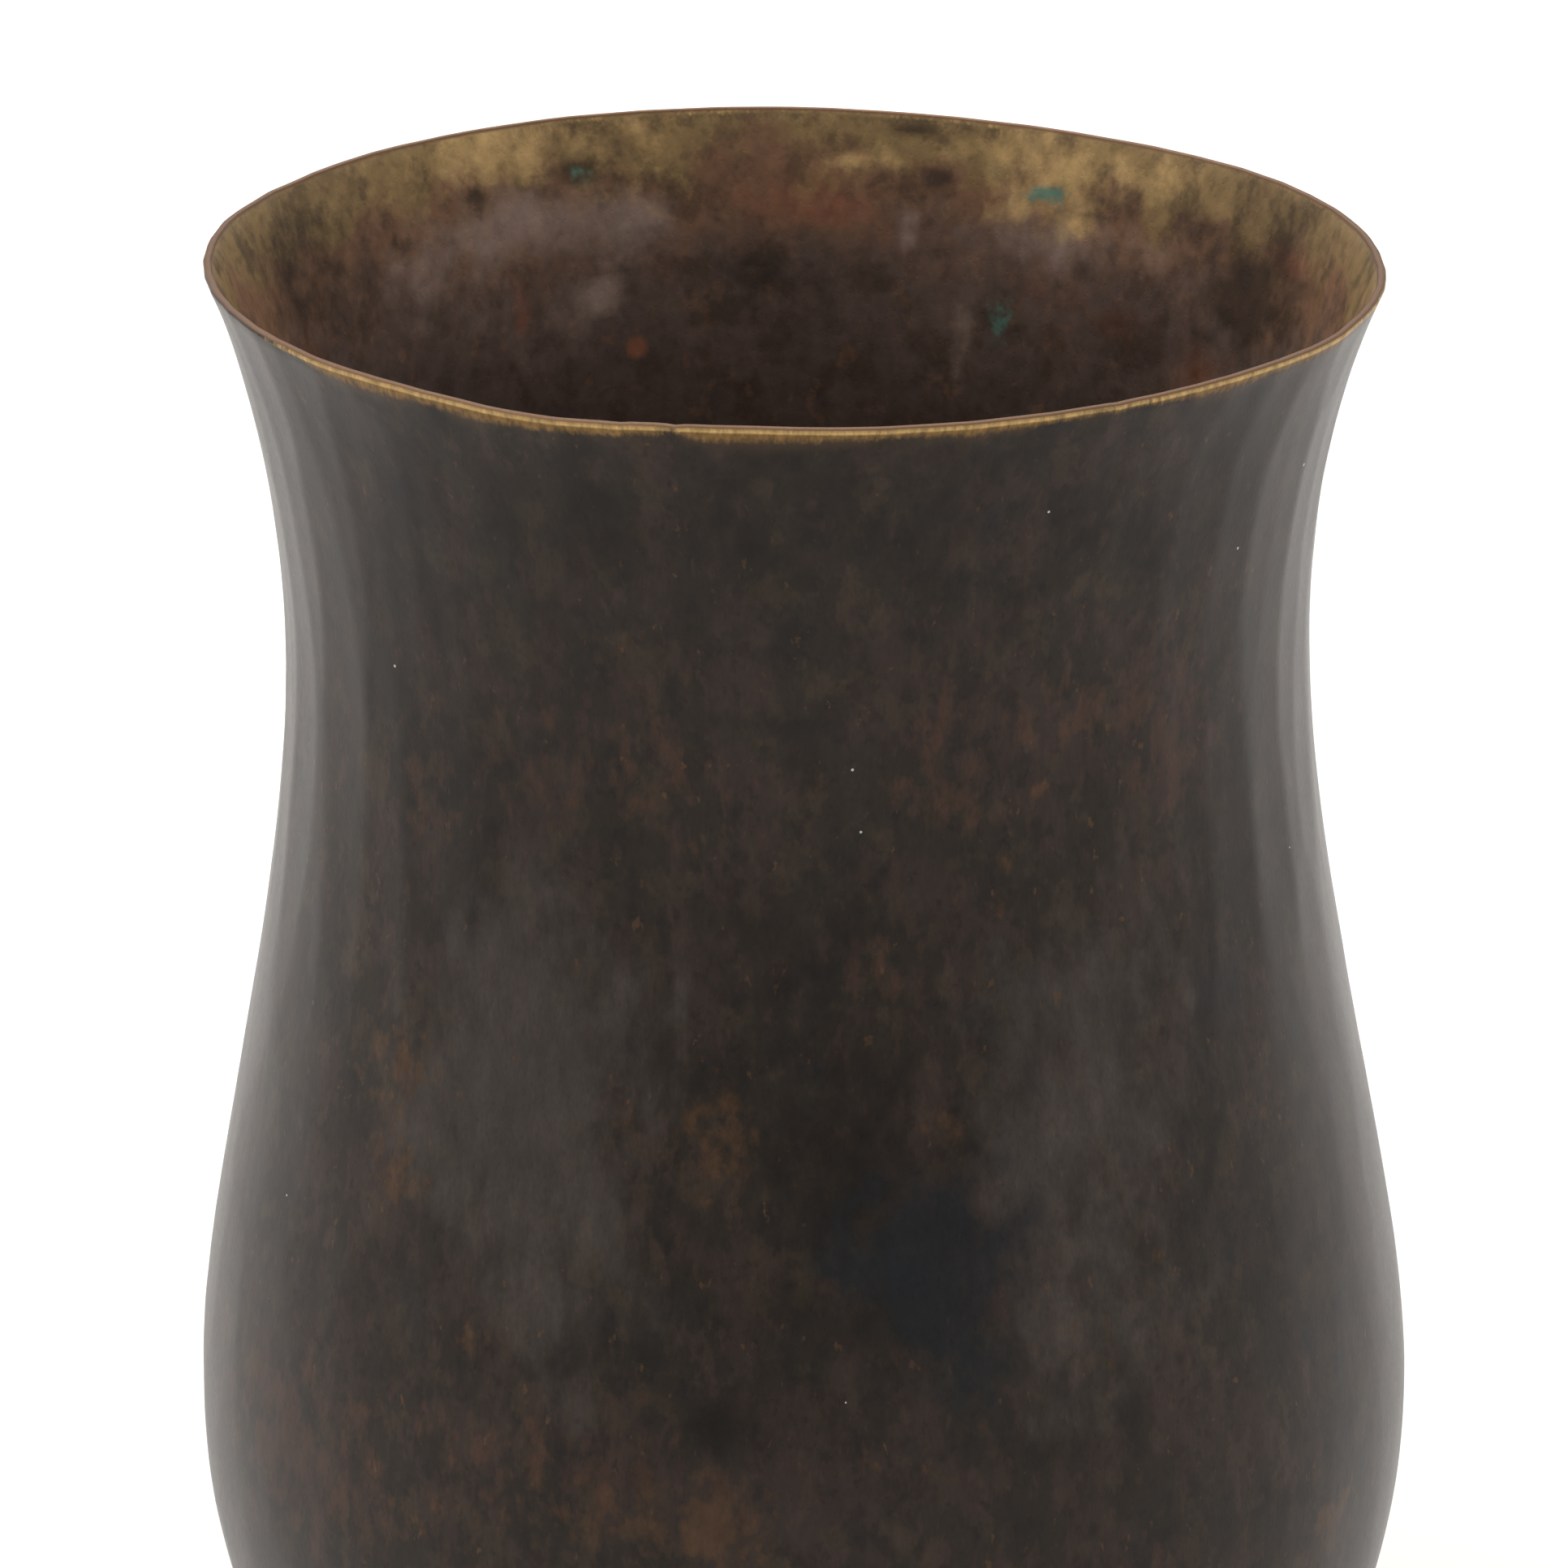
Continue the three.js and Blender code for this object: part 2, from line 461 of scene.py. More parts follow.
OUTSIDE_STAINS = (
    # How far down the rubbed line of the lip reaches, more or less
    Stain(Tint.RUB, -30, 216, 32, 9, 0.75),
    Stain(Tint.RUB, -6, 216, 9, 9, 0.45),
    Stain(Tint.RUB, -11.4, 216, 1.6, 9, -1.3),
    Stain(Tint.RUB, 14, 216, 16, 9, 0.30),
    Stain(Tint.RUB, 30, 216, 5, 9, -0.35),
    Stain(Tint.RUB, 45, 216, 14, 9, 0.30),
    Stain(Tint.RUB, -70, 216, 17, 9, -1.5),
    Stain(Tint.RUB, 80, 216, 22, 9, -0.35),
    Stain(Tint.RUB, 150, 216, 40, 9, 0.45),
    # Warm blotches of the upper wall
    Stain(Tint.RUST, 16, 172, 10, 11, 0.65),
    Stain(Tint.RUST, 44, 169, 10, 13, 0.80),
    Stain(Tint.RUST, 31, 176, 9, 8, 0.4),
    Stain(Tint.RUST, -20, 170, 16, 12, 0.55),
    Stain(Tint.RUST, -46, 162, 12, 9, 0.5),
    Stain(Tint.OCHRE, -17, 186, 7, 4, 0.35),
    Stain(Tint.OCHRE, 44, 187, 5, 6, 0.35),
    Stain(Tint.RUST, 8, 145, 9, 8, 0.4),
    Stain(Tint.OCHRE, 22, 156, 1.5, 5, 0.6),
    Stain(Tint.OCHRE, 26.5, 165.5, 1.4, 0.9, 1.3),
    Stain(Tint.OCHRE, 21, 151, 1.2, 1.6, 1.0),
    # Plain dark band under the lip
    Stain(Tint.SOOT, 0, 203, 400, 16, 0.55),
    # Dark cloud of the front and the blue-black spots round it
    Stain(Tint.SOOT, 1, 142, 10, 24, 0.65),
    Stain(Tint.SOOT, 5, 121, 11, 12, 0.5),
    Stain(Tint.BLUE, 12, 111, 15, 9, 1.0),
    Stain(Tint.BLUE, 15, 97, 11, 12, 0.7),
    Stain(Tint.SOOT, 4, 108, 17, 18, 0.42),
    Stain(Tint.SOOT, -2, 90, 11, 12, 0.30),
    Stain(Tint.BLUE, -10, 131, 3, 2, 1.0),
    Stain(Tint.BLUE, 2, 133, 4, 3, 0.5),
    Stain(Tint.BLUE, 50, 136, 7, 5, 0.9),
    Stain(Tint.BLUE, 17, 139, 5, 5, 0.4),
    Stain(Tint.BLUE, -15, 101, 8, 6, 0.5),
    Stain(Tint.BLUE, -52, 96, 9, 7, 0.5),
    Stain(Tint.BLUE, -41, 98, 5, 5, 0.5),
    Stain(Tint.BLUE, 48, 103, 13, 8, 0.6),
    Stain(Tint.BLUE, 33, 112, 6, 5, 0.45),
    Stain(Tint.BLUE, 60, 80, 10, 16, 0.6),
    Stain(Tint.BLUE, -42, 196, 10, 11, 0.5),
    Stain(Tint.BLUE, 19, 204, 10, 8, 0.35),
    # Pale bloom either side of the cloud
    Stain(Tint.HAZE, -36, 119, 17, 20, 0.95),
    Stain(Tint.HAZE, -22, 115, 10, 28, 0.75),
    Stain(Tint.HAZE, -31, 145, 14, 15, 0.80),
    Stain(Tint.HAZE, 33, 124, 15, 17, 0.75),
    Stain(Tint.HAZE, 22, 126, 8, 22, 0.75),
    Stain(Tint.HAZE, 25, 96, 12, 14, 0.70),
    Stain(Tint.HAZE, 38, 146, 13, 15, 0.55),
    Stain(Tint.HAZE, 40, 98, 13, 14, 0.45),
    Stain(Tint.HAZE, -12.5, 137, 1.3, 8, 0.7),
    Stain(Tint.HAZE, 44.5, 134, 1.0, 1.4, 1.3),
    # Rubbed spots where the brass warms through
    Stain(Tint.OCHRE, -46, 126, 9, 7, 0.8),
    Stain(Tint.OCHRE, -44.5, 112.5, 6, 4, 0.9),
    Stain(Tint.OCHRE, -19, 122, 6, 8, 0.55),
    Stain(Tint.OCHRE, -8.5, 125, 5, 8, 0.8),
    Stain(Tint.OCHRE, 15, 124, 7, 6, 0.5),
    Stain(Tint.OCHRE, 27, 94, 8, 7, 0.5),
    Stain(Tint.OCHRE, 53, 117, 6, 4, 0.5),
    Stain(Tint.OCHRE, 37, 105, 7, 4, 0.35),
    Stain(Tint.OCHRE, -32, 96, 5, 4, 0.5),
    # Heat-reddened belt round the belly
    Stain(Tint.OCHRE, -17, 76, 17, 6, 0.80),
    Stain(Tint.OCHRE, -7, 77, 5, 6, 0.9),
    Stain(Tint.RUST, -20, 82, 22, 7, 0.7),
    Stain(Tint.RUST, -55, 72, 24, 13, 0.8),
    Stain(Tint.OCHRE, -40, 72, 14, 5, 0.5),
    Stain(Tint.OCHRE, 7, 84, 12, 5, 0.35),
    Stain(Tint.OCHRE, 58, 60, 10, 6, 0.8),
    Stain(Tint.RUST, 30, 64, 16, 7, 0.5),
    Stain(Tint.SOOT, -10, 88, 7, 4, 0.7),
    # The side that faces away
    Stain(Tint.RUST, 128, 165, 22, 15, 0.7),
    Stain(Tint.BLUE, 170, 120, 18, 20, 0.8),
    Stain(Tint.HAZE, -150, 110, 20, 18, 0.5),
    Stain(Tint.OCHRE, -120, 130, 9, 7, 0.7),
    Stain(Tint.OCHRE, 140, 74, 20, 7, 0.8),
    Stain(Tint.OCHRE, -150, 70, 24, 7, 0.7),
    Stain(Tint.RUST, 100, 80, 20, 9, 0.6),
)

INSIDE_STAINS = (
    # Patches of the band below the lip that are still gold
    Stain(Tint.OCHRE, -147, 213, 12, 5, 1.0, Face.INSIDE),
    Stain(Tint.OCHRE, -130, 212, 8, 5, 0.4, Face.INSIDE),
    Stain(Tint.OCHRE, 153, 212, 12, 5, 0.9, Face.INSIDE),
    Stain(Tint.OCHRE, 137, 213, 9, 3.2, 0.75, Face.INSIDE),
    Stain(Tint.OCHRE, 172, 210, 6, 3, 0.8, Face.INSIDE),
    Stain(Tint.OCHRE, -164, 213, 8, 5, 0.6, Face.INSIDE),
    Stain(Tint.OCHRE, -164, 205, 6, 3, 0.4, Face.INSIDE),
    Stain(Tint.OCHRE, 150, 205, 10, 4, 0.65, Face.INSIDE),
    # Copper-red patches
    Stain(Tint.RUST, 175, 203, 12, 4, 0.6, Face.INSIDE),
    Stain(Tint.RUST, 125, 189, 8, 6, 0.5, Face.INSIDE),
    Stain(Tint.RUST, 113, 207.5, 7, 1.6, 1.1, Face.INSIDE),
    Stain(Tint.RUST, -147, 193, 2, 5, 0.6, Face.INSIDE),
    Stain(Tint.RUST, -161, 185.5, 1.6, 1.3, 1.5, Face.INSIDE),
    Stain(Tint.RUST, -110, 195, 10, 8, 0.4, Face.INSIDE),
    Stain(Tint.RUST, 139, 193, 9, 4, 0.55, Face.INSIDE),
    Stain(Tint.RUST, 152, 197, 5, 3, 0.45, Face.INSIDE),
    # Pale bloom and drips
    Stain(Tint.HAZE, -148, 203.5, 14, 5, 0.9, Face.INSIDE),
    Stain(Tint.HAZE, -162, 202, 5, 4, 0.7, Face.INSIDE),
    Stain(Tint.HAZE, 150, 202, 11, 4.5, 0.75, Face.INSIDE),
    Stain(Tint.HAZE, 136, 203, 6, 4, 0.4, Face.INSIDE),
    Stain(Tint.HAZE, -132, 199, 10, 9, 0.45, Face.INSIDE),
    Stain(Tint.HAZE, -150, 190, 14, 8, 0.40, Face.INSIDE),
    Stain(Tint.HAZE, -157, 193, 2.8, 1.8, 1.3, Face.INSIDE),
    Stain(Tint.HAZE, 167, 200, 1.4, 3.5, 1.0, Face.INSIDE),
    Stain(Tint.HAZE, 160, 186, 2.2, 14, 0.5, Face.INSIDE),
    # Dark stains
    Stain(Tint.SOOT, -178, 196, 12, 7, 0.72, Face.INSIDE),
    Stain(Tint.RUST, -177, 207, 9, 5, 0.30, Face.INSIDE),
    Stain(Tint.SOOT, -172, 214, 6, 3, 0.3, Face.INSIDE),
    Stain(Tint.SOOT, 167, 214.5, 5, 1.5, 0.8, Face.INSIDE),
    Stain(Tint.SOOT, -114, 205, 18, 15, 0.72, Face.INSIDE),
    Stain(Tint.SOOT, 117, 205, 18, 15, 0.78, Face.INSIDE),
    Stain(Tint.SOOT, 120, 200, 5, 4, 0.7, Face.INSIDE),
    Stain(Tint.SOOT, 137, 192, 12, 6, 0.70, Face.INSIDE),
    Stain(Tint.SOOT, -156, 209.3, 3.8, 2, 1.2, Face.INSIDE),
    Stain(Tint.SOOT, 164, 208, 3, 1.8, 1.0, Face.INSIDE),
    Stain(Tint.SOOT, -143, 208, 1.8, 2, 1.0, Face.INSIDE),
    Stain(Tint.SOOT, 146, 206, 5, 1.4, 0.8, Face.INSIDE),
    Stain(Tint.SOOT, 130, 208, 4, 2, 0.6, Face.INSIDE),
    # Copper salts
    Stain(Tint.VERDIGRIS, 151, 207.6, 3.2, 1.1, 1.9, Face.INSIDE),
    Stain(Tint.VERDIGRIS, 148, 206.8, 2, 0.7, 0.9, Face.INSIDE),
    Stain(Tint.VERDIGRIS, -156, 209, 2.8, 1.4, 1.3, Face.INSIDE),
    Stain(Tint.VERDIGRIS, 164, 207.6, 2, 1, 0.7, Face.INSIDE),
    Stain(Tint.VERDIGRIS, -143, 208, 1.6, 1.2, 0.6, Face.INSIDE),
    Stain(Tint.VERDIGRIS, 155, 190, 2.2, 4.5, 0.95, Face.INSIDE),
    Stain(Tint.VERDIGRIS, 158, 210, 3, 1, 0.6, Face.INSIDE),
)


@dataclass(frozen=True)
class StainMap:
    """Writes stains into a mesh, one attribute for each kind.

    Attributes:
        stains: The stains to write.
    """

    stains: tuple[Stain, ...]

    def write(self, mesh: bpy.types.Mesh, points: np.ndarray, inside: np.ndarray) -> None:
        """Adds the attributes.

        Args:
            mesh: The mesh to write into.
            points: Where each vertex lay before the lip was tilted.
            inside: True for each vertex of the inner face.
        """
        turns = azimuths(points)
        radii = np.hypot(points[:, 0], points[:, 1])
        for tint in Tint:
            strength = np.zeros(len(points))
            for stain in self.stains:
                if stain.tint is not tint:
                    continue
                across = np.radians(turns_from(stain.azimuth, turns)) * radii
                above = points[:, 2] - stain.height * MM
                on_face = inside if stain.face is Face.INSIDE else ~inside
                hump = bell(across, stain.width * MM) * bell(above, stain.length * MM)
                strength += stain.strength * hump * on_face
            layer = mesh.attributes.new(tint.value, "FLOAT", "POINT")
            layer.data.foreach_set("value", strength.astype(np.float32))


# ---- Nodes -------------------------------------------------------------------------------------


@dataclass(frozen=True)
class Bench:
    """Lays and wires the nodes of one tree.

    Attributes:
        tree: The tree that the nodes go in.
    """

    tree: bpy.types.NodeTree

    def lay(self, kind: str, inputs: dict | None = None, **settings: object) -> bpy.types.Node:
        """Adds a node.

        Args:
            kind: Type of the node.
            inputs: A value or a source socket for each named or numbered input.
            **settings: Properties of the node itself.

        Returns:
            The new node.
        """
        node = self.tree.nodes.new(kind)
        for name, setting in settings.items():
            setattr(node, name, setting)
        for key, source in (inputs or {}).items():
            self.feed(source, node.inputs[key])
        return node

    def feed(self, source: Input, target: bpy.types.NodeSocket) -> None:
        """Wires a socket to an input, or sets the input's own value."""
        if isinstance(source, bpy.types.NodeSocket):
            self.tree.links.new(source, target)
        elif isinstance(source, tuple) and target.type == "RGBA":
            target.default_value = (*source, 1.0)
        else:
            target.default_value = source

    def math(self, operation: str, *values: Input, clamp: bool = False) -> bpy.types.NodeSocket:
        """A sum, product or other operation on numbers."""
        inputs = dict(enumerate(values))
        return self.lay("ShaderNodeMath", inputs, operation=operation, use_clamp=clamp).outputs[0]

    def line(self, value: Input, slope: Input, start: Input) -> bpy.types.NodeSocket:
        """A number times a slope, plus a start."""
        return self.math("MULTIPLY_ADD", value, slope, start)

    def ramp(self, value: Input, low: Input, high: Input) -> bpy.types.NodeSocket:
        """Smooth step of a value: 0 at low, 1 at high."""
        inputs = {"Value": value, "From Min": low, "From Max": high}
        return self.lay("ShaderNodeMapRange", inputs, interpolation_type="SMOOTHSTEP").outputs[0]

    def blend(self, share: Input, first: Input, second: Input) -> bpy.types.NodeSocket:
        """A colour between two colours."""
        inputs = {0: share, 6: first, 7: second}
        return self.lay("ShaderNodeMix", inputs, data_type="RGBA").outputs[2]

    def vector(self, operation: str, *values: Input) -> bpy.types.NodeSocket:
        """A sum, product or other operation on vectors."""
        inputs = dict(enumerate(values))
        return self.lay("ShaderNodeVectorMath", inputs, operation=operation).outputs[0]

    def stretched(self, point: Input, scale: tuple[float, float, float]) -> bpy.types.NodeSocket:
        """A point with each coordinate multiplied by its own number."""
        return self.vector("MULTIPLY", point, scale)

    def shaded(self, colour: Input, shade: Input) -> bpy.types.NodeSocket:
        """A colour multiplied by a number."""
        return self.vector("MULTIPLY", colour, shade)

    def noise(self, point: Input, scale: Input, detail: float, **more: Input) -> bpy.types.NodeSocket:
        """Soft noise between about 0.25 and 0.75, with a size of one over the scale."""
        inputs = {"Vector": point, "Scale": scale, "Detail": detail} | more
        return self.lay("ShaderNodeTexNoise", inputs).outputs[0]

    def attribute(self, name: str) -> bpy.types.NodeSocket:
        """A number that the mesh holds at each vertex."""
        return self.lay("ShaderNodeAttribute", attribute_name=name).outputs["Fac"]

    def bumped(self, height: Input, strength: float, distance: float) -> bpy.types.NodeSocket:
        """A normal that leans with a height, which is worth a distance from 0 to 1."""
        inputs = {"Height": height, "Strength": strength, "Distance": distance}
        return self.lay("ShaderNodeBump", inputs).outputs[0]


@dataclass(frozen=True)
class Effect:
    """A node group that several finishes share.

    Attributes:
        name: Name of the group.
        inputs: Name and value of each input. A tuple makes a vector input.
        outputs: Name of each output. All of them are numbers.
    """

    name: str
    inputs: tuple[tuple[str, float | tuple], ...]
    outputs: tuple[str, ...]

    def tree(self) -> bpy.types.NodeTree:
        """An empty group with the effect's sockets."""
        group = bpy.data.node_groups.new(self.name, "ShaderNodeTree")
        for name, value in self.inputs:
            kind = "NodeSocketVector" if isinstance(value, tuple) else "NodeSocketFloat"
            socket = group.interface.new_socket(name, in_out="INPUT", socket_type=kind)
            socket.default_value = value
        for name in self.outputs:
            group.interface.new_socket(name, in_out="OUTPUT", socket_type="NodeSocketFloat")
        return group

    def place(self, bench: Bench, **inputs: Input) -> bpy.types.Node:
        """Places the group in a material.

        Args:
            bench: Where the group node goes.
            **inputs: Values or sockets, with underscores for the spaces of the input names.

        Returns:
            The group node.
        """
        node = bench.lay("ShaderNodeGroup", node_tree=bpy.data.node_groups[self.name])
        for name, source in inputs.items():
            bench.feed(source, node.inputs[name.replace("_", " ").capitalize()])
        return node


PATCH = Effect(
    "Ragged patch",
    (
        ("Point", (0, 0, 0)),
        ("Shift", 0.0),
        ("Size", 10.0),
        ("Upright", 1.0),
        ("Bias", 0.0),
        ("Edge", 0.1),
        ("Level", 0.6),
        ("Cover", 1.0),
    ),
    ("Mask",),
)
GRAIN = Effect(
    "Upright grain",
    (("Point", (0, 0, 0)), ("Width", 0.5), ("Length", 6.0)),
    ("Grain", "Pits"),
)
LIP_WEAR = Effect(
    "Lip wear",
    (("Point", (0, 0, 0)), ("Distance", 0.0), ("Reach", 0.9), ("Bleed", 2.2)),
    ("Mask", "Bleed mask", "Streaks"),
)
DUST = Effect(
    "Dust",
    (("Point", (0, 0, 0)), ("Spacing", 8.0), ("Speck", 0.22)),
    ("Mask",),
)


def build_patch() -> None:
    """Patch: noise of a size in millimetres, drawn out upright, cut at a level that a bias shifts."""
    tree = PATCH.tree()
    bench = Bench(tree)
    given = bench.lay("NodeGroupInput").outputs
    flat = bench.math("DIVIDE", 1.0, given["Size"])
    tall = bench.math("DIVIDE", flat, given["Upright"])
    drawn = bench.lay("ShaderNodeCombineXYZ", {0: flat, 1: flat, 2: tall}).outputs[0]
    point = bench.vector("MULTIPLY", given["Point"], drawn)
    shifted = bench.vector("ADD", point, given["Shift"])
    cloud = bench.noise(shifted, 1.0, 5.0, Roughness=0.6, Distortion=0.1)
    biased = bench.math("ADD", cloud, given["Bias"])
    low = bench.math("SUBTRACT", given["Level"], given["Edge"])
    high = bench.math("ADD", given["Level"], given["Edge"])
    mask = bench.math("MULTIPLY", bench.ramp(biased, low, high), given["Cover"])
    bench.lay("NodeGroupOutput", {"Mask": mask})


def build_grain() -> None:
    """Grain: fine upright brush lines, and small pits."""
    tree = GRAIN.tree()
    bench = Bench(tree)
    given = bench.lay("NodeGroupInput").outputs
    across = bench.math("DIVIDE", 1.0, given["Width"])
    along = bench.math("DIVIDE", 1.0, given["Length"])
    drawn = bench.lay("ShaderNodeCombineXYZ", {0: across, 1: across, 2: along})
    point = bench.vector("MULTIPLY", given["Point"], drawn.outputs[0])
    grain = bench.noise(point, 1.0, 4.0, Roughness=0.6)
    pits_per_millimetre = 1.1
    pit_core = 0.05
    pit_rim = 0.3
    placing = {"Vector": given["Point"], "Scale": pits_per_millimetre, "Randomness": 1.0}
    cells = bench.lay("ShaderNodeTexVoronoi", placing)
    pits = bench.ramp(cells.outputs["Distance"], pit_core, pit_rim)
    bench.lay("NodeGroupOutput", {"Grain": grain, "Pits": pits})


def build_lip_wear() -> None:
    """Lip wear: a line of rubbed brass with a ragged edge, and a fainter stain that runs below it."""
    streak_scale = (1.2, 1.2, 0.45)
    drift_scale = (0.09, 0.09, 0.02)
    raggedness = 1.7
    drift = 1.6
    fade_below = 0.75
    fade_above = 0.45
    bleed_gap = 0.5
    bleed_near = 0.3
    least_reach = 0.9

    tree = LIP_WEAR.tree()
    bench = Bench(tree)
    given = bench.lay("NodeGroupInput").outputs
    distance = bench.math("ABSOLUTE", given["Distance"])
    streaks = bench.noise(bench.stretched(given["Point"], streak_scale), 1.0, 4.0, Roughness=0.7)
    slow = bench.noise(bench.stretched(given["Point"], drift_scale), 1.0, 2.0)
    ragged = bench.line(bench.math("SUBTRACT", streaks, 0.5), raggedness, given["Reach"])
    reach = bench.line(bench.math("SUBTRACT", slow, 0.5), drift, ragged)
    low = bench.math("ADD", reach, fade_below)
    high = bench.math("SUBTRACT", reach, fade_above)
    mask = bench.ramp(distance, low, high)
    bleed_width = bench.math("MULTIPLY", bench.ramp(slow, 0.35, 0.65), given["Bleed"])
    bleed_far = bench.math("ADD", bench.math("ADD", reach, bleed_width), bleed_gap)
    bleeding = bench.ramp(distance, bleed_far, bleed_near)
    bleed = bench.math("MULTIPLY", bleeding, bench.ramp(reach, 0.0, least_reach))
    bench.lay("NodeGroupOutput", {"Mask": mask, "Bleed mask": bleed, "Streaks": streaks})


def build_dust() -> None:
    """Dust: bright specks far apart."""
    tree = DUST.tree()
    bench = Bench(tree)
    given = bench.lay("NodeGroupInput").outputs
    chance_of_none = 0.3
    chance_below_full = 0.9
    scale = bench.math("DIVIDE", 1.0, given["Spacing"])
    placing = {"Vector": given["Point"], "Scale": scale, "Randomness": 1.0}
    cells = bench.lay("ShaderNodeTexVoronoi", placing)
    reach = bench.math("MULTIPLY", given["Speck"], scale)
    chance = bench.lay("ShaderNodeSeparateColor", {0: cells.outputs["Color"]}).outputs[0]
    share = bench.ramp(chance, chance_of_none, chance_below_full)
    sized = bench.math("MULTIPLY", reach, share)
    mask = bench.math("LESS_THAN", cells.outputs["Distance"], sized)
    bench.lay("NodeGroupOutput", {"Mask": mask})


def build_effects() -> None:
    """Makes every shared group once."""
    build_patch()
    build_grain()
    build_lip_wear()
    build_dust()


# ---- Finishes ----------------------------------------------------------------------------------


def new_material(name: str) -> tuple[bpy.types.Material, Bench, bpy.types.Node]:
    """Starts a node material.

    Args:
        name: Name of the material.

    Returns:
        The material, its bench and its shader.
    """
    material = bpy.data.materials.new(name)
    material.use_nodes = True
    bench = Bench(material.node_tree)
    return material, bench, material.node_tree.nodes["Principled BSDF"]


def millimetres(bench: Bench) -> bpy.types.NodeSocket:
    """The object's own coordinates, counted in millimetres."""
    own = bench.lay("ShaderNodeTexCoord").outputs["Object"]
    return bench.stretched(own, (1 / MM, 1 / MM, 1 / MM))


@dataclass(frozen=True)
class Mottle:
    """One layer of a patina: soft patches of a colour, gathered where the mesh holds a stain.

    Attributes:
        colour: Colour of the patches.
        size: Their size, in millimetres.
        upright: How many times taller than wide they are.
        level: How much noise it takes to show where the mesh holds no stain.
        edge: Softness of their edges.
        cover: How much of the colour below they hide.
        tint: The stain that gathers them.
        pull: How far a full stain lowers the level.
    """

    colour: Colour
    size: float
    upright: float = 1.0
    level: float = 0.6
    edge: float = 0.14
    cover: float = 1.0
    tint: Tint | None = None
    pull: float = 0.3

    def lay(self, bench: Bench, under: Input, point: Input) -> bpy.types.NodeSocket:
        """Lays the patches over a colour.

        Args:
            bench: Where the nodes go.
            under: The colour so far.
            point: Coordinates in millimetres.

        Returns:
            The mottled colour.
        """
        bias = 0.0
        if self.tint:
            bias = bench.math("MULTIPLY", bench.attribute(self.tint.value), self.pull)
        patch = PATCH.place(
            bench,
            Point=point,
            Shift=self.size * LAYER_SHIFT + self.level,
            Size=self.size,
            Upright=self.upright,
            Bias=bias,
            Edge=self.edge,
            Level=self.level,
            Cover=self.cover,
        )
        return bench.blend(patch.outputs[0], under, self.colour)


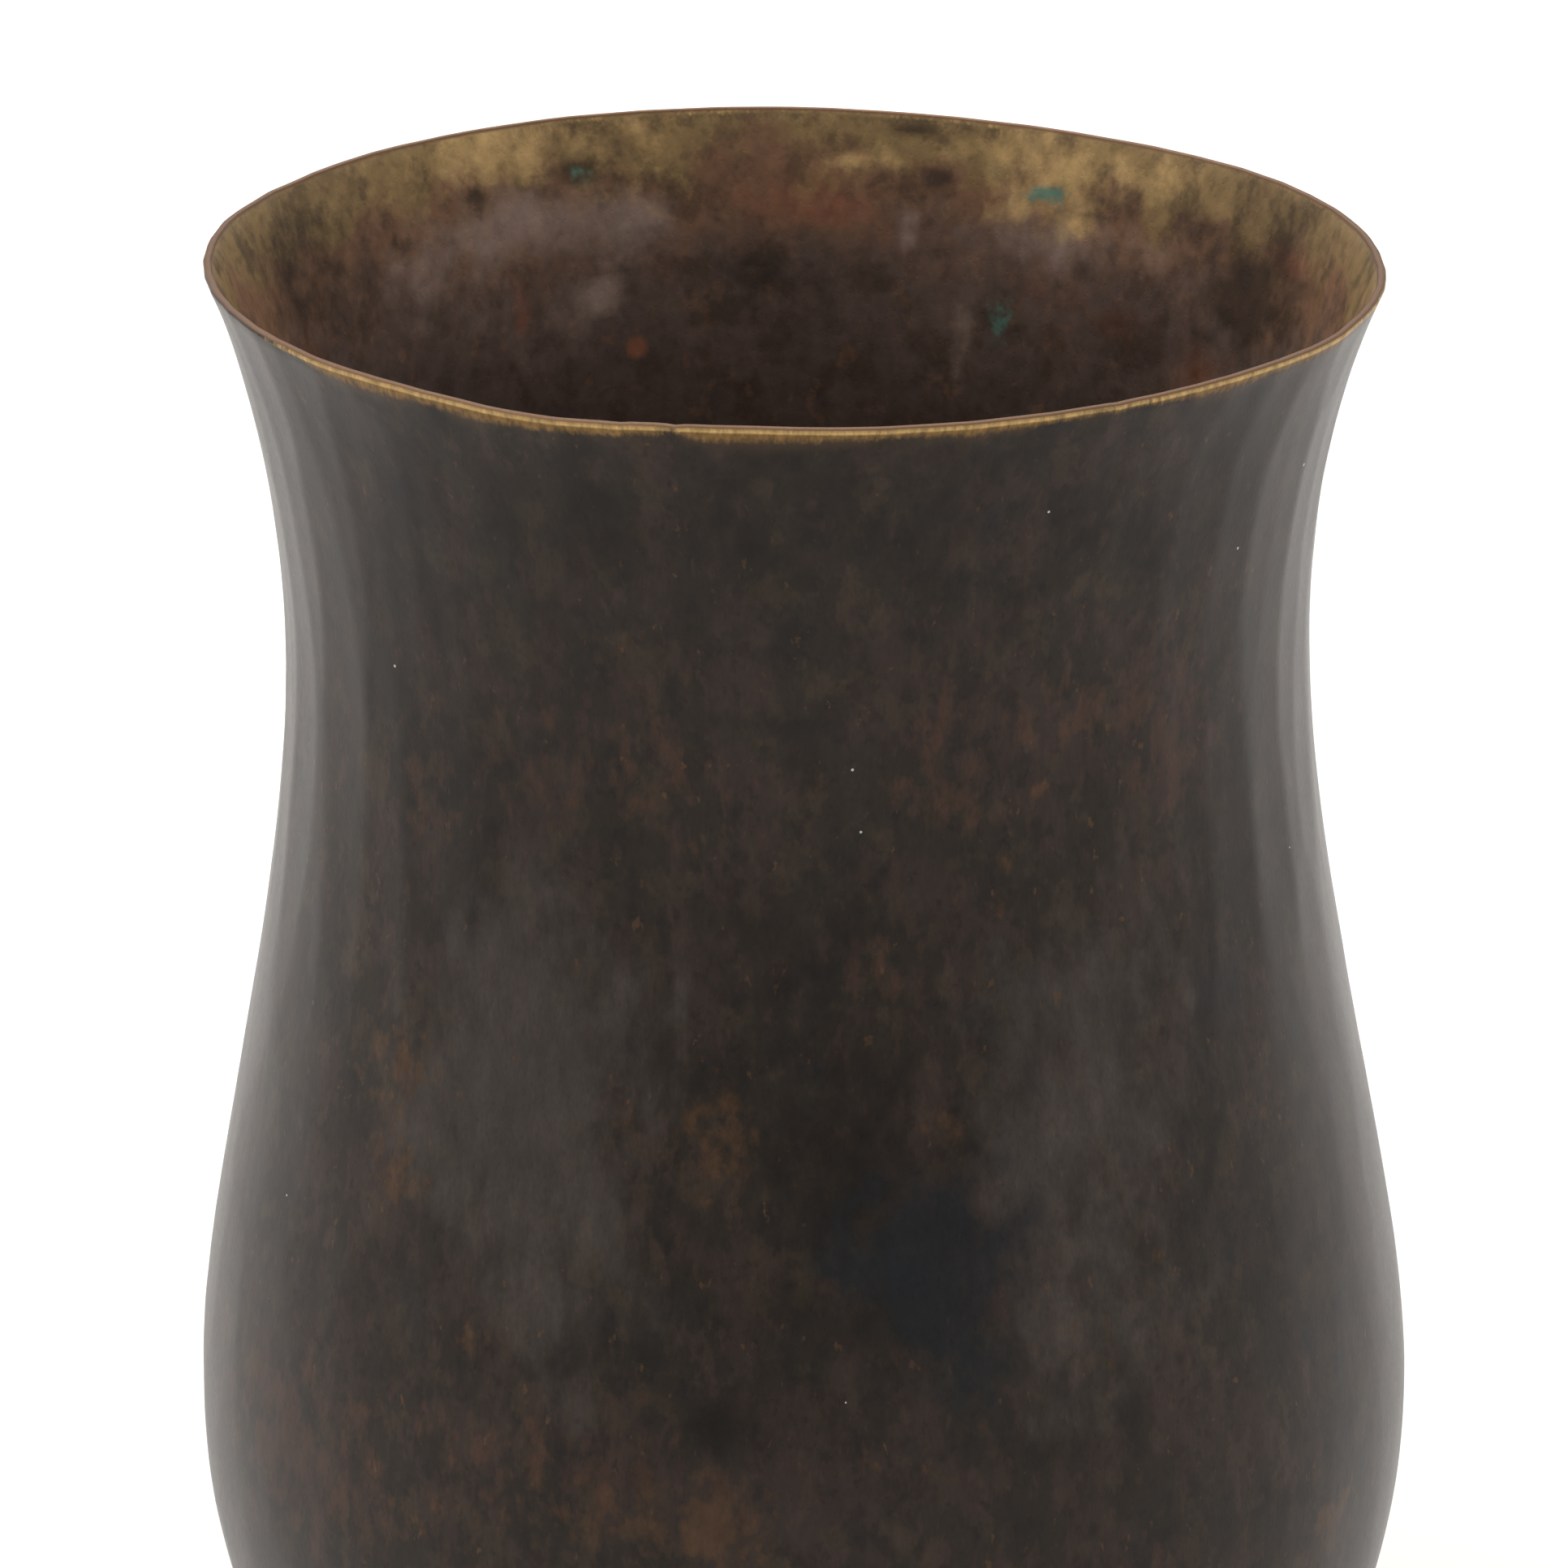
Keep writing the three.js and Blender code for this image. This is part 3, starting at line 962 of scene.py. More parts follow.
@dataclass(frozen=True)
class OutsidePatina:
    """Brown oxide over the outside: cloudy, streaked upright, rubbed through along the lip.

    Attributes:
        name: Name of the material.
        ground: Main colour.
        mottles: The layers over it, lowest first.
        rubbed_corner_and_highlight: Rubbed brass of the lip's outer rounding, made brighter gold than
            the band below as a painted highlight.
        band: Rubbed metal below that rounding.
        lip_top_painted_shade: Colour on top of the lip, darker than the rubbed brass there: painted
            shade that tones down the softbox highlight on it.
        tarnish: Half-rubbed metal below the lip.
        lip_reach: Width of the rubbed line, in millimetres.
        roughness: Roughness of the oxide.
        film_index: Refractive index of the waxy film on it.
        dust: Colour of the dust specks.
        cloud_size: Size of the slow changes of shade, in millimetres.
        streak_scale: Fineness of the upright streaks, in each direction.
        cloud_shade: Slope and start of the shade that the clouds give.
        streak_shade: The same for the streaks.
        grain_shade: The same for the fine grain.
    """

    name: str = "outside_patina"
    ground: Colour = (0.0225, 0.0163, 0.0113)
    mottles: tuple[Mottle, ...] = (
        Mottle((0.0370, 0.0232, 0.0180), 9.0, 1.5, 0.52, 0.09, 0.80),
        Mottle((0.0500, 0.0330, 0.0190), 5.5, 1.3, 0.58, 0.05, 0.50),
        Mottle((0.0560, 0.0320, 0.0235), 3.0, 2.2, 0.60, 0.05, 0.45),
        Mottle((0.0090, 0.0075, 0.0065), 4.6, 1.3, 0.58, 0.08, 0.50),
        Mottle((0.0080, 0.0065, 0.0055), 1.8, 1.2, 0.61, 0.07, 0.45),
        Mottle((0.0700, 0.0570, 0.0490), 7.0, 1.6, 0.86, 0.23, 0.72, Tint.HAZE, 0.50),
        Mottle((0.0660, 0.0320, 0.0200), 2.8, 1.7, 0.72, 0.10, 0.70, Tint.RUST, 0.34),
        Mottle((0.0880, 0.0430, 0.0185), 2.6, 1.3, 0.78, 0.14, 0.66, Tint.OCHRE, 0.36),
        Mottle((0.1100, 0.0560, 0.0250), 1.6, 1.7, 0.68, 0.03, 0.55),
        Mottle((0.0070, 0.0042, 0.0024), 9.0, 1.3, 0.80, 0.24, 0.90, Tint.SOOT, 0.42),
        Mottle((0.0090, 0.0125, 0.0165), 6.0, 1.1, 0.80, 0.20, 0.75, Tint.BLUE, 0.42),
    )
    # Rubbed brass of the lip's outer rounding, made brighter as a painted highlight
    rubbed_corner_and_highlight: Colour = (0.560, 0.370, 0.150)
    band: Colour = (0.215, 0.125, 0.045)
    # Painted shade on top of the lip, darker than rubbed brass, to tone down the softbox highlight
    # there
    lip_top_painted_shade: Colour = (0.155, 0.088, 0.052)
    tarnish: Colour = (0.070, 0.043, 0.022)
    lip_reach: float = 0.70
    roughness: float = 0.31
    film_index: float = 1.29
    dust: Colour = (0.55, 0.53, 0.50)
    cloud_size: float = 38.0
    streak_scale: tuple[float, float, float] = (0.42, 0.42, 0.14)
    cloud_shade: tuple[float, float] = (0.8, 0.6)
    streak_shade: tuple[float, float] = (0.9, 0.55)
    grain_shade: tuple[float, float] = (0.6, 0.7)

    def make(self) -> bpy.types.Material:
        """Builds the material."""
        material, bench, shader = new_material(self.name)
        point = millimetres(bench)
        clouds = bench.noise(point, 1 / self.cloud_size, 3.0)
        streaks = bench.noise(bench.stretched(point, self.streak_scale), 1.0, 4.0, Roughness=0.65)
        grain = GRAIN.place(bench, Point=point, Width=0.45, Length=1.1).outputs

        colour = self.ground
        for mottle in self.mottles:
            colour = mottle.lay(bench, colour, point)
        shade = bench.line(streaks, *self.streak_shade)
        shade = bench.math("MULTIPLY", shade, bench.line(grain["Grain"], *self.grain_shade))
        shade = bench.math("MULTIPLY", shade, bench.line(clouds, *self.cloud_shade))
        colour = bench.shaded(colour, shade)
        colour, bare = self.wear_lip(bench, colour, point)
        dust = DUST.place(bench, Point=point).outputs[0]
        bench.feed(bench.blend(dust, colour, self.dust), shader.inputs["Base Color"])
        bench.feed(bare, shader.inputs["Metallic"])

        grain_roughness = 0.16
        cloud_roughness = 0.1
        bare_roughness = 0.3
        smoothest = self.roughness - (grain_roughness + cloud_roughness) / 2
        rough = bench.line(grain["Grain"], grain_roughness, smoothest)
        rough = bench.line(bare, bare_roughness, rough)
        bench.feed(bench.line(clouds, cloud_roughness, rough), shader.inputs["Roughness"])
        shader.inputs["IOR"].default_value = self.film_index
        pit_height = 0.35
        height = bench.line(grain["Pits"], pit_height, grain["Grain"])
        bench.feed(bench.bumped(height, 0.25, 0.05 * MM), shader.inputs["Normal"])
        return material

    def wear_lip(
        self, bench: Bench, colour: Input, point: Input
    ) -> tuple[bpy.types.NodeSocket, bpy.types.NodeSocket]:
        """Rubs the brass bare along the lip, with a painted highlight on its outer rounding and
        painted shade on its top.

        Args:
            bench: Where the nodes go.
            colour: The colour so far.
            point: Coordinates in millimetres.

        Returns:
            The colour with its rubbed lip, and how bare the metal is.
        """
        highlight_to_band_ends = (0.35, 0.75)
        streak_shade = (2.0, -0.05)
        top_outer_ends = (0.34, 0.16)
        top_inner_ends = (-0.9, -0.35)
        bare_below = 0.45
        bare_on_top = 0.4

        distance = bench.attribute("lip_distance")
        reach = bench.math("ADD", bench.attribute(Tint.RUB.value), self.lip_reach)
        wear = LIP_WEAR.place(bench, Point=point, Distance=distance, Reach=reach).outputs
        # Rubbed brass from the lip's outer rounding down to the band; the rounding's brighter gold is
        # a painted highlight
        gold = bench.blend(bench.ramp(distance, *highlight_to_band_ends), self.rubbed_corner_and_highlight, self.band)
        gold = bench.shaded(gold, bench.line(wear["Streaks"], *streak_shade))
        colour = bench.blend(wear["Bleed mask"], colour, self.tarnish)
        colour = bench.blend(wear["Mask"], colour, gold)
        from_outside = bench.ramp(distance, *top_outer_ends)
        from_inside = bench.ramp(distance, *top_inner_ends)
        on_top = bench.math("MULTIPLY", from_outside, from_inside)
        # Painted shade on top of the lip, darker than the rubbed brass, against the softbox highlight
        # there
        colour = bench.blend(on_top, colour, self.lip_top_painted_shade)
        bare = bench.math("MULTIPLY", wear["Mask"], bare_below)
        return colour, bench.line(on_top, bare_on_top, bare)


@dataclass(frozen=True)
class InsidePatina(OutsidePatina):
    """The inside: dull gold near the lip, then red-brown, then nearly black, with copper salts.

    Attributes:
        gold: Colour of the band under the lip.
        copper: Colour of the band below it.
        plum: Colour of the next band.
        deep: Colour of the depths.
        gold_ends: Depths, in millimetres, between which the gold gives way to the copper.
        copper_ends: Depths between which the copper gives way to the plum.
        plum_ends: Depths between which the plum gives way to the depths' colour.
        bare_ends: Depths between which the metal stops showing.
        wander: How far noise shifts the bands up and down, in millimetres.
        fine_shade: Slope and start of the shade that the fine noise gives.
    """

    name: str = "inside_patina"
    gold: Colour = (0.285, 0.185, 0.080)
    copper: Colour = (0.215, 0.112, 0.062)
    plum: Colour = (0.125, 0.081, 0.063)
    deep: Colour = (0.092, 0.063, 0.051)
    mottles: tuple[Mottle, ...] = (
        Mottle((0.062, 0.038, 0.025), 6.0, 1.1, 0.57, 0.08, 0.58),
        Mottle((0.055, 0.034, 0.025), 2.8, 1.1, 0.60, 0.07, 0.34),
        Mottle((0.260, 0.130, 0.070), 3.0, 1.2, 0.62, 0.06, 0.28),
        Mottle((0.340, 0.245, 0.200), 6.0, 1.1, 0.95, 0.34, 0.80, Tint.HAZE, 0.70),
        Mottle((0.300, 0.112, 0.060), 5.0, 1.1, 0.90, 0.28, 0.75, Tint.RUST, 0.70),
        Mottle((0.640, 0.415, 0.175), 4.0, 1.1, 0.92, 0.26, 0.85, Tint.OCHRE, 0.60),
        Mottle((0.030, 0.020, 0.014), 5.0, 1.1, 0.92, 0.28, 0.80, Tint.SOOT, 0.70),
        Mottle((0.095, 0.240, 0.185), 2.4, 1.0, 0.88, 0.18, 0.80, Tint.VERDIGRIS, 0.45),
    )
    lip_reach: float = 0.15
    roughness: float = 0.50
    gold_ends: tuple[float, float] = (4.0, 11.0)
    copper_ends: tuple[float, float] = (10.0, 24.0)
    plum_ends: tuple[float, float] = (22.0, 42.0)
    bare_ends: tuple[float, float] = (2.0, 13.0)
    wander: float = 30.0
    fine_shade: tuple[float, float] = (0.9, 0.55)

    def make(self) -> bpy.types.Material:
        """Builds the material."""
        material, bench, shader = new_material(self.name)
        point = millimetres(bench)
        below = bench.math("MULTIPLY", bench.attribute("lip_distance"), -1.0)
        cloud_size = 9.0
        fine_size = 2.4
        drawn = bench.stretched(point, (1, 1, 0.7))
        cloud = bench.noise(drawn, 1 / cloud_size, 5.0, Roughness=0.6)
        fine = bench.noise(point, 1 / fine_size, 4.0, Roughness=0.6)
        shift = bench.math("MULTIPLY", bench.math("SUBTRACT", cloud, 0.5), self.wander)
        depth = bench.math("ADD", below, shift)

        colour = bench.blend(bench.ramp(depth, *self.gold_ends), self.gold, self.copper)
        colour = bench.blend(bench.ramp(depth, *self.copper_ends), colour, self.plum)
        colour = bench.blend(bench.ramp(depth, *self.plum_ends), colour, self.deep)
        for mottle in self.mottles:
            colour = mottle.lay(bench, colour, point)
        colour = bench.shaded(colour, bench.line(fine, *self.fine_shade))
        colour, rubbed = self.wear_lip(bench, colour, point)
        bench.feed(colour, shader.inputs["Base Color"])
        bare_metal = 0.25
        bare = bench.math("SUBTRACT", 1.0, bench.ramp(depth, *self.bare_ends))
        bench.feed(bench.line(bare, bare_metal, rubbed), shader.inputs["Metallic"])

        cloud_roughness = 0.25
        smoother_by = 0.12
        rough = bench.line(cloud, cloud_roughness, self.roughness - smoother_by)
        bench.feed(rough, shader.inputs["Roughness"])
        shader.inputs["IOR"].default_value = self.film_index
        pit_height = 0.6
        grain = GRAIN.place(bench, Point=point, Width=0.6, Length=3.0).outputs
        height = bench.line(grain["Pits"], pit_height, fine)
        bench.feed(bench.bumped(height, 0.3, 0.12 * MM), shader.inputs["Normal"])
        return material


@dataclass(frozen=True)
class SpelterFinish:
    """Brazing spelter: dull yellow-brown, darker where flux has burnt.

    Attributes:
        name: Name of the material.
        metal: Colour of the spelter.
        burnt: Colour of the burnt flux.
        roughness: Mean roughness.
        metallic: How metallic the clean spelter is.
    """

    name: str = "spelter_finish"
    metal: Colour = (0.085, 0.055, 0.027)
    burnt: Colour = (0.020, 0.015, 0.011)
    roughness: float = 0.48
    metallic: float = 0.4

    def make(self) -> bpy.types.Material:
        """Builds the material."""
        material, bench, shader = new_material(self.name)
        point = millimetres(bench)
        patch = PATCH.place(bench, Point=point, Size=5.0, Upright=0.8, Edge=0.14, Level=0.5)
        burnt_share = patch.outputs[0]
        colour = bench.blend(burnt_share, self.metal, self.burnt)
        bench.feed(colour, shader.inputs["Base Color"])
        metallic = bench.line(burnt_share, -self.metallic, self.metallic)
        bench.feed(metallic, shader.inputs["Metallic"])
        grain = GRAIN.place(bench, Point=point, Width=0.5, Length=0.5).outputs["Grain"]
        grain_roughness = 0.3
        rough = bench.line(grain, grain_roughness, self.roughness - grain_roughness / 2)
        bench.feed(rough, shader.inputs["Roughness"])
        bench.feed(bench.bumped(grain, 0.4, 0.15 * MM), shader.inputs["Normal"])
        return material


# ---- Pieces ------------------------------------------------------------------------------------


def spun_section(section: list[tuple[Vector, float]], steps: int, closed: bool) -> bmesh.types.BMesh:
    """Turns a section round the upright axis.

    Args:
        section: Radius and height of each point in turn, each with its distance from the lip. The
            mesh keeps the distance in millimetres.
        steps: Number of steps in the full turn.
        closed: True to join the last point to the first before the turn.

    Returns:
        The turned mesh, merged and facing outwards.
    """
    bm = bmesh.new()
    layer = bm.verts.layers.float.new("lip_distance")
    verts = []
    for point, distance in section:
        vert = bm.verts.new((0, -point.x, point.y))
        vert[layer] = distance / MM
        verts.append(vert)
    edges = [bm.edges.new(pair) for pair in zip(verts, verts[1:])]
    if closed:
        edges.append(bm.edges.new((verts[-1], verts[0])))
    bmesh.ops.spin(
        bm,
        geom=verts + edges,
        cent=(0, 0, 0),
        axis=(0, 0, 1),
        angle=math.tau,
        steps=steps,
        use_merge=True,
    )
    bmesh.ops.remove_doubles(bm, verts=bm.verts, dist=MERGE_DISTANCE)
    bmesh.ops.recalc_face_normals(bm, faces=bm.faces)
    for face in bm.faces:
        face.smooth = True
    return bm


def finished(bm: bmesh.types.BMesh, name: str) -> bpy.types.Object:
    """Makes an object at the origin from a bmesh."""
    mesh = bpy.data.meshes.new(name)
    bm.to_mesh(mesh)
    bm.free()
    piece = bpy.data.objects.new(name, mesh)
    bpy.context.scene.collection.objects.link(piece)
    return piece


def vertex_points(mesh: bpy.types.Mesh) -> np.ndarray:
    """Coordinates of a mesh's vertices, one row each."""
    flat = np.empty(len(mesh.vertices) * 3, dtype=np.float32)
    mesh.vertices.foreach_get("co", flat)
    return flat.astype(np.float64).reshape(-1, 3)


def lip_distances(mesh: bpy.types.Mesh) -> np.ndarray:
    """The stored distance of each vertex from the lip, in millimetres, negative on the inner face."""
    values = np.empty(len(mesh.vertices), dtype=np.float32)
    mesh.attributes["lip_distance"].data.foreach_get("value", values)
    return values


def move_vertices(mesh: bpy.types.Mesh, points: np.ndarray) -> None:
    """Gives a mesh's vertices new coordinates."""
    mesh.vertices.foreach_set("co", points.astype(np.float32).ravel())
    mesh.update()


def sink_towards_axis(points: np.ndarray, depths: np.ndarray) -> np.ndarray:
    """Points moved towards the upright axis, each by its own depth."""
    smallest = 1e-6
    radii = np.maximum(np.hypot(points[:, 0], points[:, 1]), smallest)
    moved = points.copy()
    moved[:, :2] *= (1 - depths / radii)[:, None]
    return moved


def assign_faces(mesh: bpy.types.Mesh, inside: np.ndarray) -> None:
    """Gives the second material to each face whose vertices are mostly on the inner face."""
    for polygon in mesh.polygons:
        on_inside = sum(bool(inside[v]) for v in polygon.vertices)
        polygon.material_index = int(on_inside * 2 > len(polygon.vertices))


@dataclass(frozen=True)
class Wall:
    """The wall: one sheet from the lip to the seam.

    Attributes:
        sheet: Where the sheet runs.
        hammer: Its hammer work.
        lip: The line of its lip.
        stains: Its stains.
        node: The frame's node that it stands for.
        outside_rings: Rings of faces down the outside.
        inside_rings: Rings of faces down the inside.
        edge_rings: Rings of faces over the rounded edge of the lip.
        steps: Faces round the pot.
    """

    sheet: Sheet
    hammer: HammerWork
    lip: LipLine
    stains: StainMap
    node: str = "upper_wall"
    outside_rings: int = 124
    inside_rings: int = 90
    edge_rings: int = 6
    steps: int = 420

    def section(self) -> list[tuple[Vector, float]]:
        """The closed section: up the outside, over the rounded lip and down the inside."""
        half = self.sheet.thickness / 2
        outside = self.sheet.stations(self.outside_rings)
        inside = self.sheet.stations(self.inside_rings)
        top = outside[0]
        up = Vector((top.inward.y, -top.inward.x))
        points = [(station.point, station.below_lip) for station in reversed(outside[1:])]
        for i in range(self.edge_rings + 1):
            angle = math.pi * i / self.edge_rings
            place = top.sunk(half * (1 - math.cos(angle))) + up * self.sheet.start * math.sin(angle)
            points.append((place, top.below_lip * math.cos(angle)))
        points += [(s.sunk(self.sheet.thickness), -s.below_lip) for s in inside[1:]]
        return points

    def build(self) -> bpy.types.Object:
        """Makes the beaten wall and its stains."""
        piece = finished(spun_section(self.section(), self.steps, True), "wall_sheet")
        mesh = piece.data
        points = vertex_points(mesh)
        inside = lip_distances(mesh) < 0
        self.stains.write(mesh, points, inside)
        moved = sink_towards_axis(points, self.hammer.sink_all(points))
        moved[:, 2] += self.lip.lift_all(points)
        move_vertices(mesh, moved)
        assign_faces(mesh, inside)
        return piece

    def dress(self, piece: bpy.types.Object) -> None:
        """Gives the wall its two patinas."""
        piece.data.materials.append(OutsidePatina().make())
        piece.data.materials.append(InsidePatina().make())


@dataclass(frozen=True)
class Bowl:
    """The lower bowl: a raised disc with a flattened base.

    Attributes:
        sheet: Where the sheet runs, down to the rim of the flat base.
        hammer: Its hammer work.
        stains: Its stains.
        node: The frame's node that it stands for.
        side_rings: Rings of faces from the edge to the flat base.
        base_rings: Rings of faces over the flat base.
        steps: Faces round the pot.
    """

    sheet: Sheet
    hammer: HammerWork
    stains: StainMap
    node: str = "lower_bowl"
    side_rings: int = 58
    base_rings: int = 14
    steps: int = 300

    def face_line(self, depth: float, sign: int) -> list[tuple[Vector, float]]:
        """One face of the bowl, upper edge first and the middle of the base last.

        Args:
            depth: Depth of the face under the outline.
            sign: 1 on the outside and -1 on the inside.

        Returns:
            Points with their distances from the lip.
        """
        side = self.sheet.stations(self.side_rings)
        line = [(station.sunk(depth), sign * station.below_lip) for station in side]
        rim, run = line[-1]
        for i in range(1, self.base_rings + 1):
            radius = rim.x * (1 - i / self.base_rings)
            line.append((Vector((radius, rim.y)), run + sign * (rim.x - radius)))
        return line

    def build(self) -> bpy.types.Object:
        """Makes the beaten bowl and its stains."""
        outside = self.face_line(self.sheet.depth, 1)
        inside = self.face_line(self.sheet.depth + self.sheet.thickness, -1)
        piece = finished(spun_section(outside[::-1] + inside, self.steps, False), "bowl_sheet")
        mesh = piece.data
        points = vertex_points(mesh)
        on_inside = lip_distances(mesh) < 0
        self.stains.write(mesh, points, on_inside)
        move_vertices(mesh, sink_towards_axis(points, self.hammer.sink_all(points)))
        assign_faces(mesh, on_inside)
        return piece

    def dress(self, piece: bpy.types.Object) -> None:
        """Gives the bowl its two patinas."""
        piece.data.materials.append(OutsidePatina(name="bowl_outside_patina").make())
        piece.data.materials.append(InsidePatina(name="bowl_inside_patina").make())


@dataclass(frozen=True)
class SpelterRun:
    """A run of spelter in a corner of the lap.

    Attributes:
        name: Name of the piece.
        node: The frame's node that it stands for.
        outline: The pot's outline.
        root: Distance of its thick end from the lip, along the outline.
        width: Its width along the sheet, negative if it climbs.
        root_depths: Depth of its two corners at the thick end, the one in the open air first.
        toe_depth: Depth of its thin end.
        hammer: The hammer work of the sheets that it lies on.
        hollow: How hollow its open face is; 1 would be straight.
        face_points: Points across that face.
        steps: Faces round the pot.
    """

    name: str
    node: str
    outline: Outline
    root: float
    width: float
    root_depths: tuple[float, float]
    toe_depth: float
    hammer: HammerWork
    hollow: float = 1.6
    face_points: int = 6
    steps: int = 300

    def section(self) -> list[tuple[Vector, float]]:
        """The closed section: a hollow-faced wedge."""
        whole = Sheet(self.outline, self.root, self.root + self.width, 0, 0)
        stations = whole.stations(self.face_points)
        shown, hidden = self.root_depths
        points = []
        for i, station in enumerate(stations):
            share = (1 - i / (self.face_points - 1)) ** self.hollow
            points.append((station.sunk(self.toe_depth + (shown - self.toe_depth) * share), 0.0))
        for station in reversed(stations[:-1]):
            points.append((station.sunk(hidden), 0.0))
        return points

    def build(self) -> bpy.types.Object:
        """Makes the run, uneven as it froze."""
        piece = finished(spun_section(self.section(), self.steps, True), self.name)
        mesh = piece.data
        points = vertex_points(mesh)
        move_vertices(mesh, sink_towards_axis(points, self.hammer.sink_all(points)))
        return piece

    def dress(self, piece: bpy.types.Object) -> None:
        """Gives the run its finish."""
        name = SpelterFinish().name
        piece.data.materials.append(bpy.data.materials.get(name) or SpelterFinish().make())


# ---- Studio ------------------------------------------------------------------------------------


@dataclass(frozen=True)
class Viewpoint:
    """Where the camera stands and how it looks.

    Attributes:
        distance: Distance from the middle of the mouth.
        elevation: Height of the camera over the mouth, as an angle in degrees.
        pitch: How far the camera looks down, in degrees.
        roll: Its roll, in degrees.
        sidestep: How far it stands to the +X side.
        lens: Focal length, in millimetres.
        sensor: Width of the sensor, in millimetres.
        sight: Nearest and farthest distance that it sees.
    """

    distance: float = 0.95
    elevation: float = 15.816
    pitch: float = 19.841
    roll: float = -0.505
    sidestep: float = -1.92 * MM
    lens: float = 172.13
    sensor: float = 36.0
    sight: tuple[float, float] = (0.01, 50.0)

    def place(self, mouth_height: float) -> None:
        """Makes the camera.

        Args:
            mouth_height: Mean height of the lip.
        """
        data = bpy.data.cameras.new("camera")
        data.lens = self.lens
        data.sensor_width = self.sensor
        data.clip_start, data.clip_end = self.sight
        camera = bpy.data.objects.new("camera", data)
        bpy.context.scene.collection.objects.link(camera)
        rise = math.radians(self.elevation)
        back = self.distance * math.cos(rise)
        up = self.distance * math.sin(rise)
        where = Matrix.Translation((self.sidestep, -back, mouth_height + up))
        look = Euler((math.radians(90 - self.pitch), 0, 0)).to_matrix().to_4x4()
        camera.matrix_world = where @ look @ Matrix.Rotation(math.radians(self.roll), 4, "Z")
        bpy.context.scene.camera = camera


@dataclass(frozen=True)
class Softbox:
    """A square area light.

    Attributes:
        name: Name of the light.
        place: Where it hangs.
        aim: The point that it faces.
        size: Its width and height.
        power: Its power in watts.
    """

    name: str
    place: tuple[float, float, float]
    aim: tuple[float, float, float]
    size: tuple[float, float]
    power: float

    def hang(self) -> None:
        """Makes the light."""
        data = bpy.data.lights.new(self.name, "AREA")
        data.shape = "RECTANGLE"
        data.size, data.size_y = self.size
        data.energy = self.power
        light = bpy.data.objects.new(self.name, data)
        light.location = self.place
        toward = Vector(self.aim) - Vector(self.place)
        light.rotation_mode = "QUATERNION"
        light.rotation_quaternion = toward.to_track_quat("-Z", "Y")
        bpy.context.scene.collection.objects.link(light)


@dataclass(frozen=True)
class Studio:
    """A plain pale floor in soft light.

    Attributes:
        floor_radius: Radius of the floor.
        floor_colour: Colour of the floor.
        floor_shade: Share of that colour where the floor is darkest.
        sky: Strength of the even light from all round.
        front_sky: Its strength from the open front.
        front_ends: How squarely a direction faces the front where the light starts to dim, and
            where it has dimmed.
        softboxes: The lights.
    """

    floor_radius: float = 8.0
    floor_colour: Colour = (0.90, 0.868, 0.835)
    floor_shade: float = 0.97
    sky: float = 0.68
    front_sky: float = 0.40
    front_ends: tuple[float, float] = (0.45, 0.95)
    softboxes: tuple[Softbox, ...] = (
        Softbox("back_wash", (-0.15, 1.1, 1.8), (0, 0.5, 0), (3.0, 1.6), 40),
        Softbox("overhead", (-0.2, 0.1, 1.3), (0, 0, 0.1), (1.0, 1.0), 3),
    )

    def light_sky(self) -> None:
        """Makes the even light from all round, dimmer from the open front of the studio."""
        world = bpy.data.worlds.new("studio")
        world.use_nodes = True
        bench = Bench(world.node_tree)
        direction = bench.lay("ShaderNodeTexCoord").outputs["Generated"]
        towards_back = bench.lay("ShaderNodeSeparateXYZ", {0: direction}).outputs[1]
        towards_front = bench.math("MULTIPLY", towards_back, -1.0)
        open_share = bench.ramp(towards_front, *self.front_ends)
        strength = bench.line(open_share, self.front_sky - self.sky, self.sky)
        background = world.node_tree.nodes["Background"].inputs
        bench.feed(strength, background["Strength"])
        bench.feed((1, 1, 1), background["Color"])
        bpy.context.scene.world = world

    def build(self) -> None:
        """Makes the floor, the sky and the lights."""
        bm = bmesh.new()
        bmesh.ops.create_circle(bm, cap_ends=True, radius=self.floor_radius, segments=96)
        floor = finished(bm, "studio_floor")
        material, bench, shader = new_material("studio_floor")
        cloth = bench.noise(bench.lay("ShaderNodeTexCoord").outputs["Object"], 3.0, 2.0)
        darkest = tuple(self.floor_shade * part for part in self.floor_colour)
        bench.feed(bench.blend(cloth, self.floor_colour, darkest), shader.inputs["Base Color"])
        shader.inputs["Roughness"].default_value = 1.0
        shader.inputs["Specular IOR Level"].default_value = 0.0
        floor.data.materials.append(material)
        self.light_sky()
        for softbox in self.softboxes:
            softbox.hang()
        bpy.context.scene.view_settings.view_transform = "Standard"


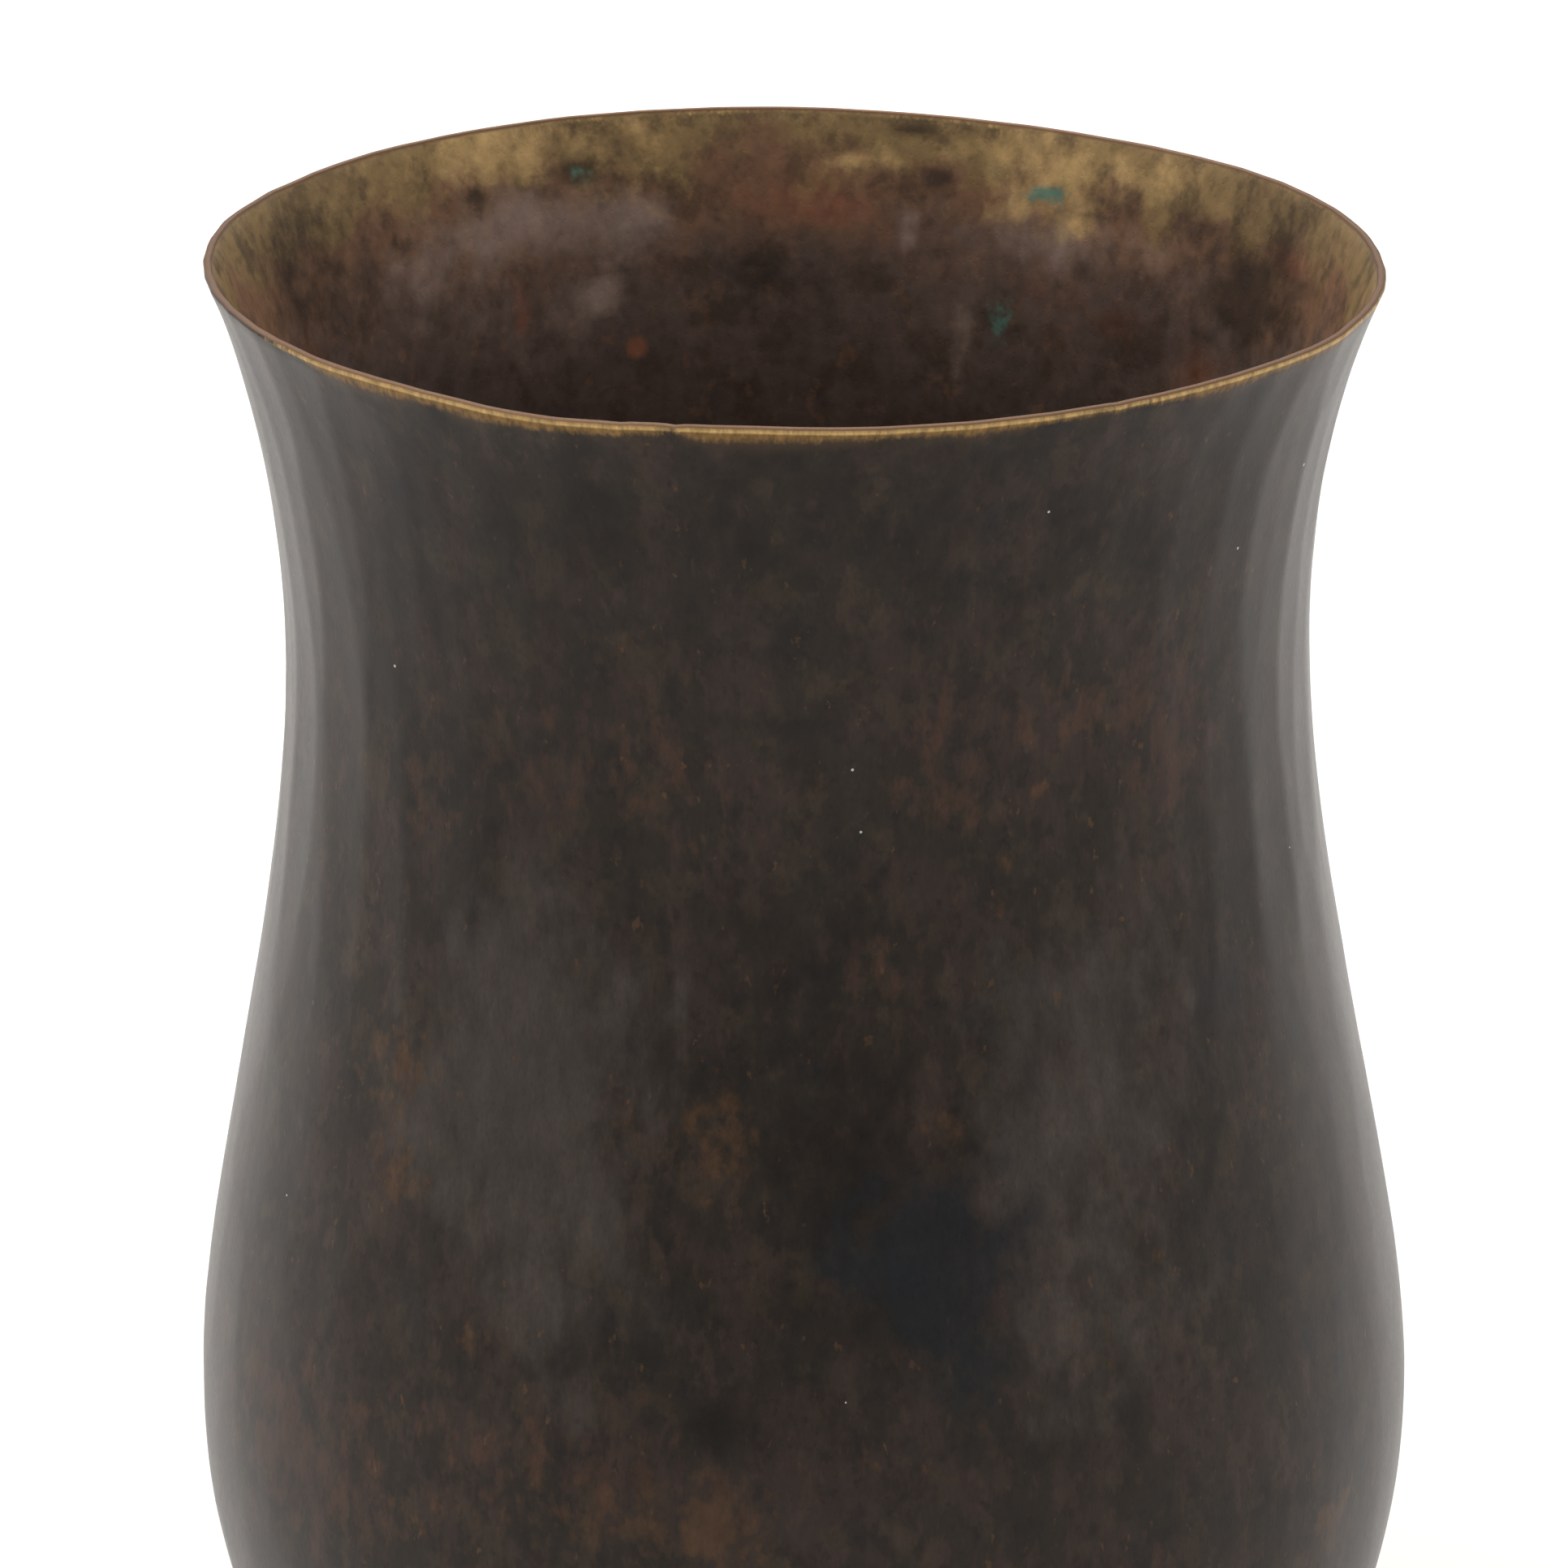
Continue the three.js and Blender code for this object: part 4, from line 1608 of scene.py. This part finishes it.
# ---- Assembly ----------------------------------------------------------------------------------


def pot_parts(outline: Outline) -> tuple[tuple[Wall | Bowl | SpelterRun, str], ...]:
    """The four pieces of the pot.

    Args:
        outline: The pot's outline.

    Returns:
        Each piece's builder and the name of a material slot, which main leaves unused.
    """
    thickness = 1.1 * MM
    gap = 0.3 * MM
    lap = 8 * MM
    spelter_width = 2.4 * MM
    toe = 0.15 * thickness
    lip_rounding = 0.4 * MM
    wall_low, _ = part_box("upper_wall")

    seam = run_at_height(outline, wall_low.z)
    base = outline.stations()[-1].below_lip
    lap_top = seam - lap
    nest = outline.nest_depth
    hammer = HammerWork()
    wall_sheet = Sheet(outline, lip_rounding, seam, 0, thickness)
    bowl_sheet = Sheet(outline, lap_top, base, nest, thickness)
    lip = LipLine(fade_height=outline.waist_height, lip_height=outline.lip_height)
    stains = StainMap(OUTSIDE_STAINS + INSIDE_STAINS)
    outer_run = SpelterRun(
        name="outer_spelter_run",
        node="outer_seam_spelter",
        outline=outline,
        root=seam + gap,
        width=spelter_width,
        root_depths=(0, thickness),
        toe_depth=thickness - toe,
        hammer=hammer,
    )
    inner_run = SpelterRun(
        name="inner_spelter_run",
        node="inner_seam_spelter",
        outline=outline,
        root=lap_top - gap,
        width=-spelter_width,
        root_depths=(nest + thickness, nest),
        toe_depth=nest + toe,
        hammer=hammer,
    )
    return (
        (Wall(wall_sheet, hammer, lip, stains), "wall_brass"),
        (Bowl(bowl_sheet, hammer, stains), "bowl_brass"),
        (outer_run, "spelter"),
        (inner_run, "spelter"),
    )


def main() -> None:
    """Builds the studio and the pot."""
    logging.basicConfig(level=logging.INFO, format="%(name)s: %(message)s")
    _, wall_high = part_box("upper_wall")
    outline = Outline(belly_radius=wall_high.x)
    Viewpoint().place(outline.lip_height)
    Studio().build()
    build_effects()
    for part, slot in pot_parts(outline):
        piece = part.build()
        part.dress(piece)
        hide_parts(part.node)
        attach(piece, ROOT_BODY)
        LOG.info("%s: %d faces", piece.name, len(piece.data.polygons))


if __name__ == "__main__":
    main()
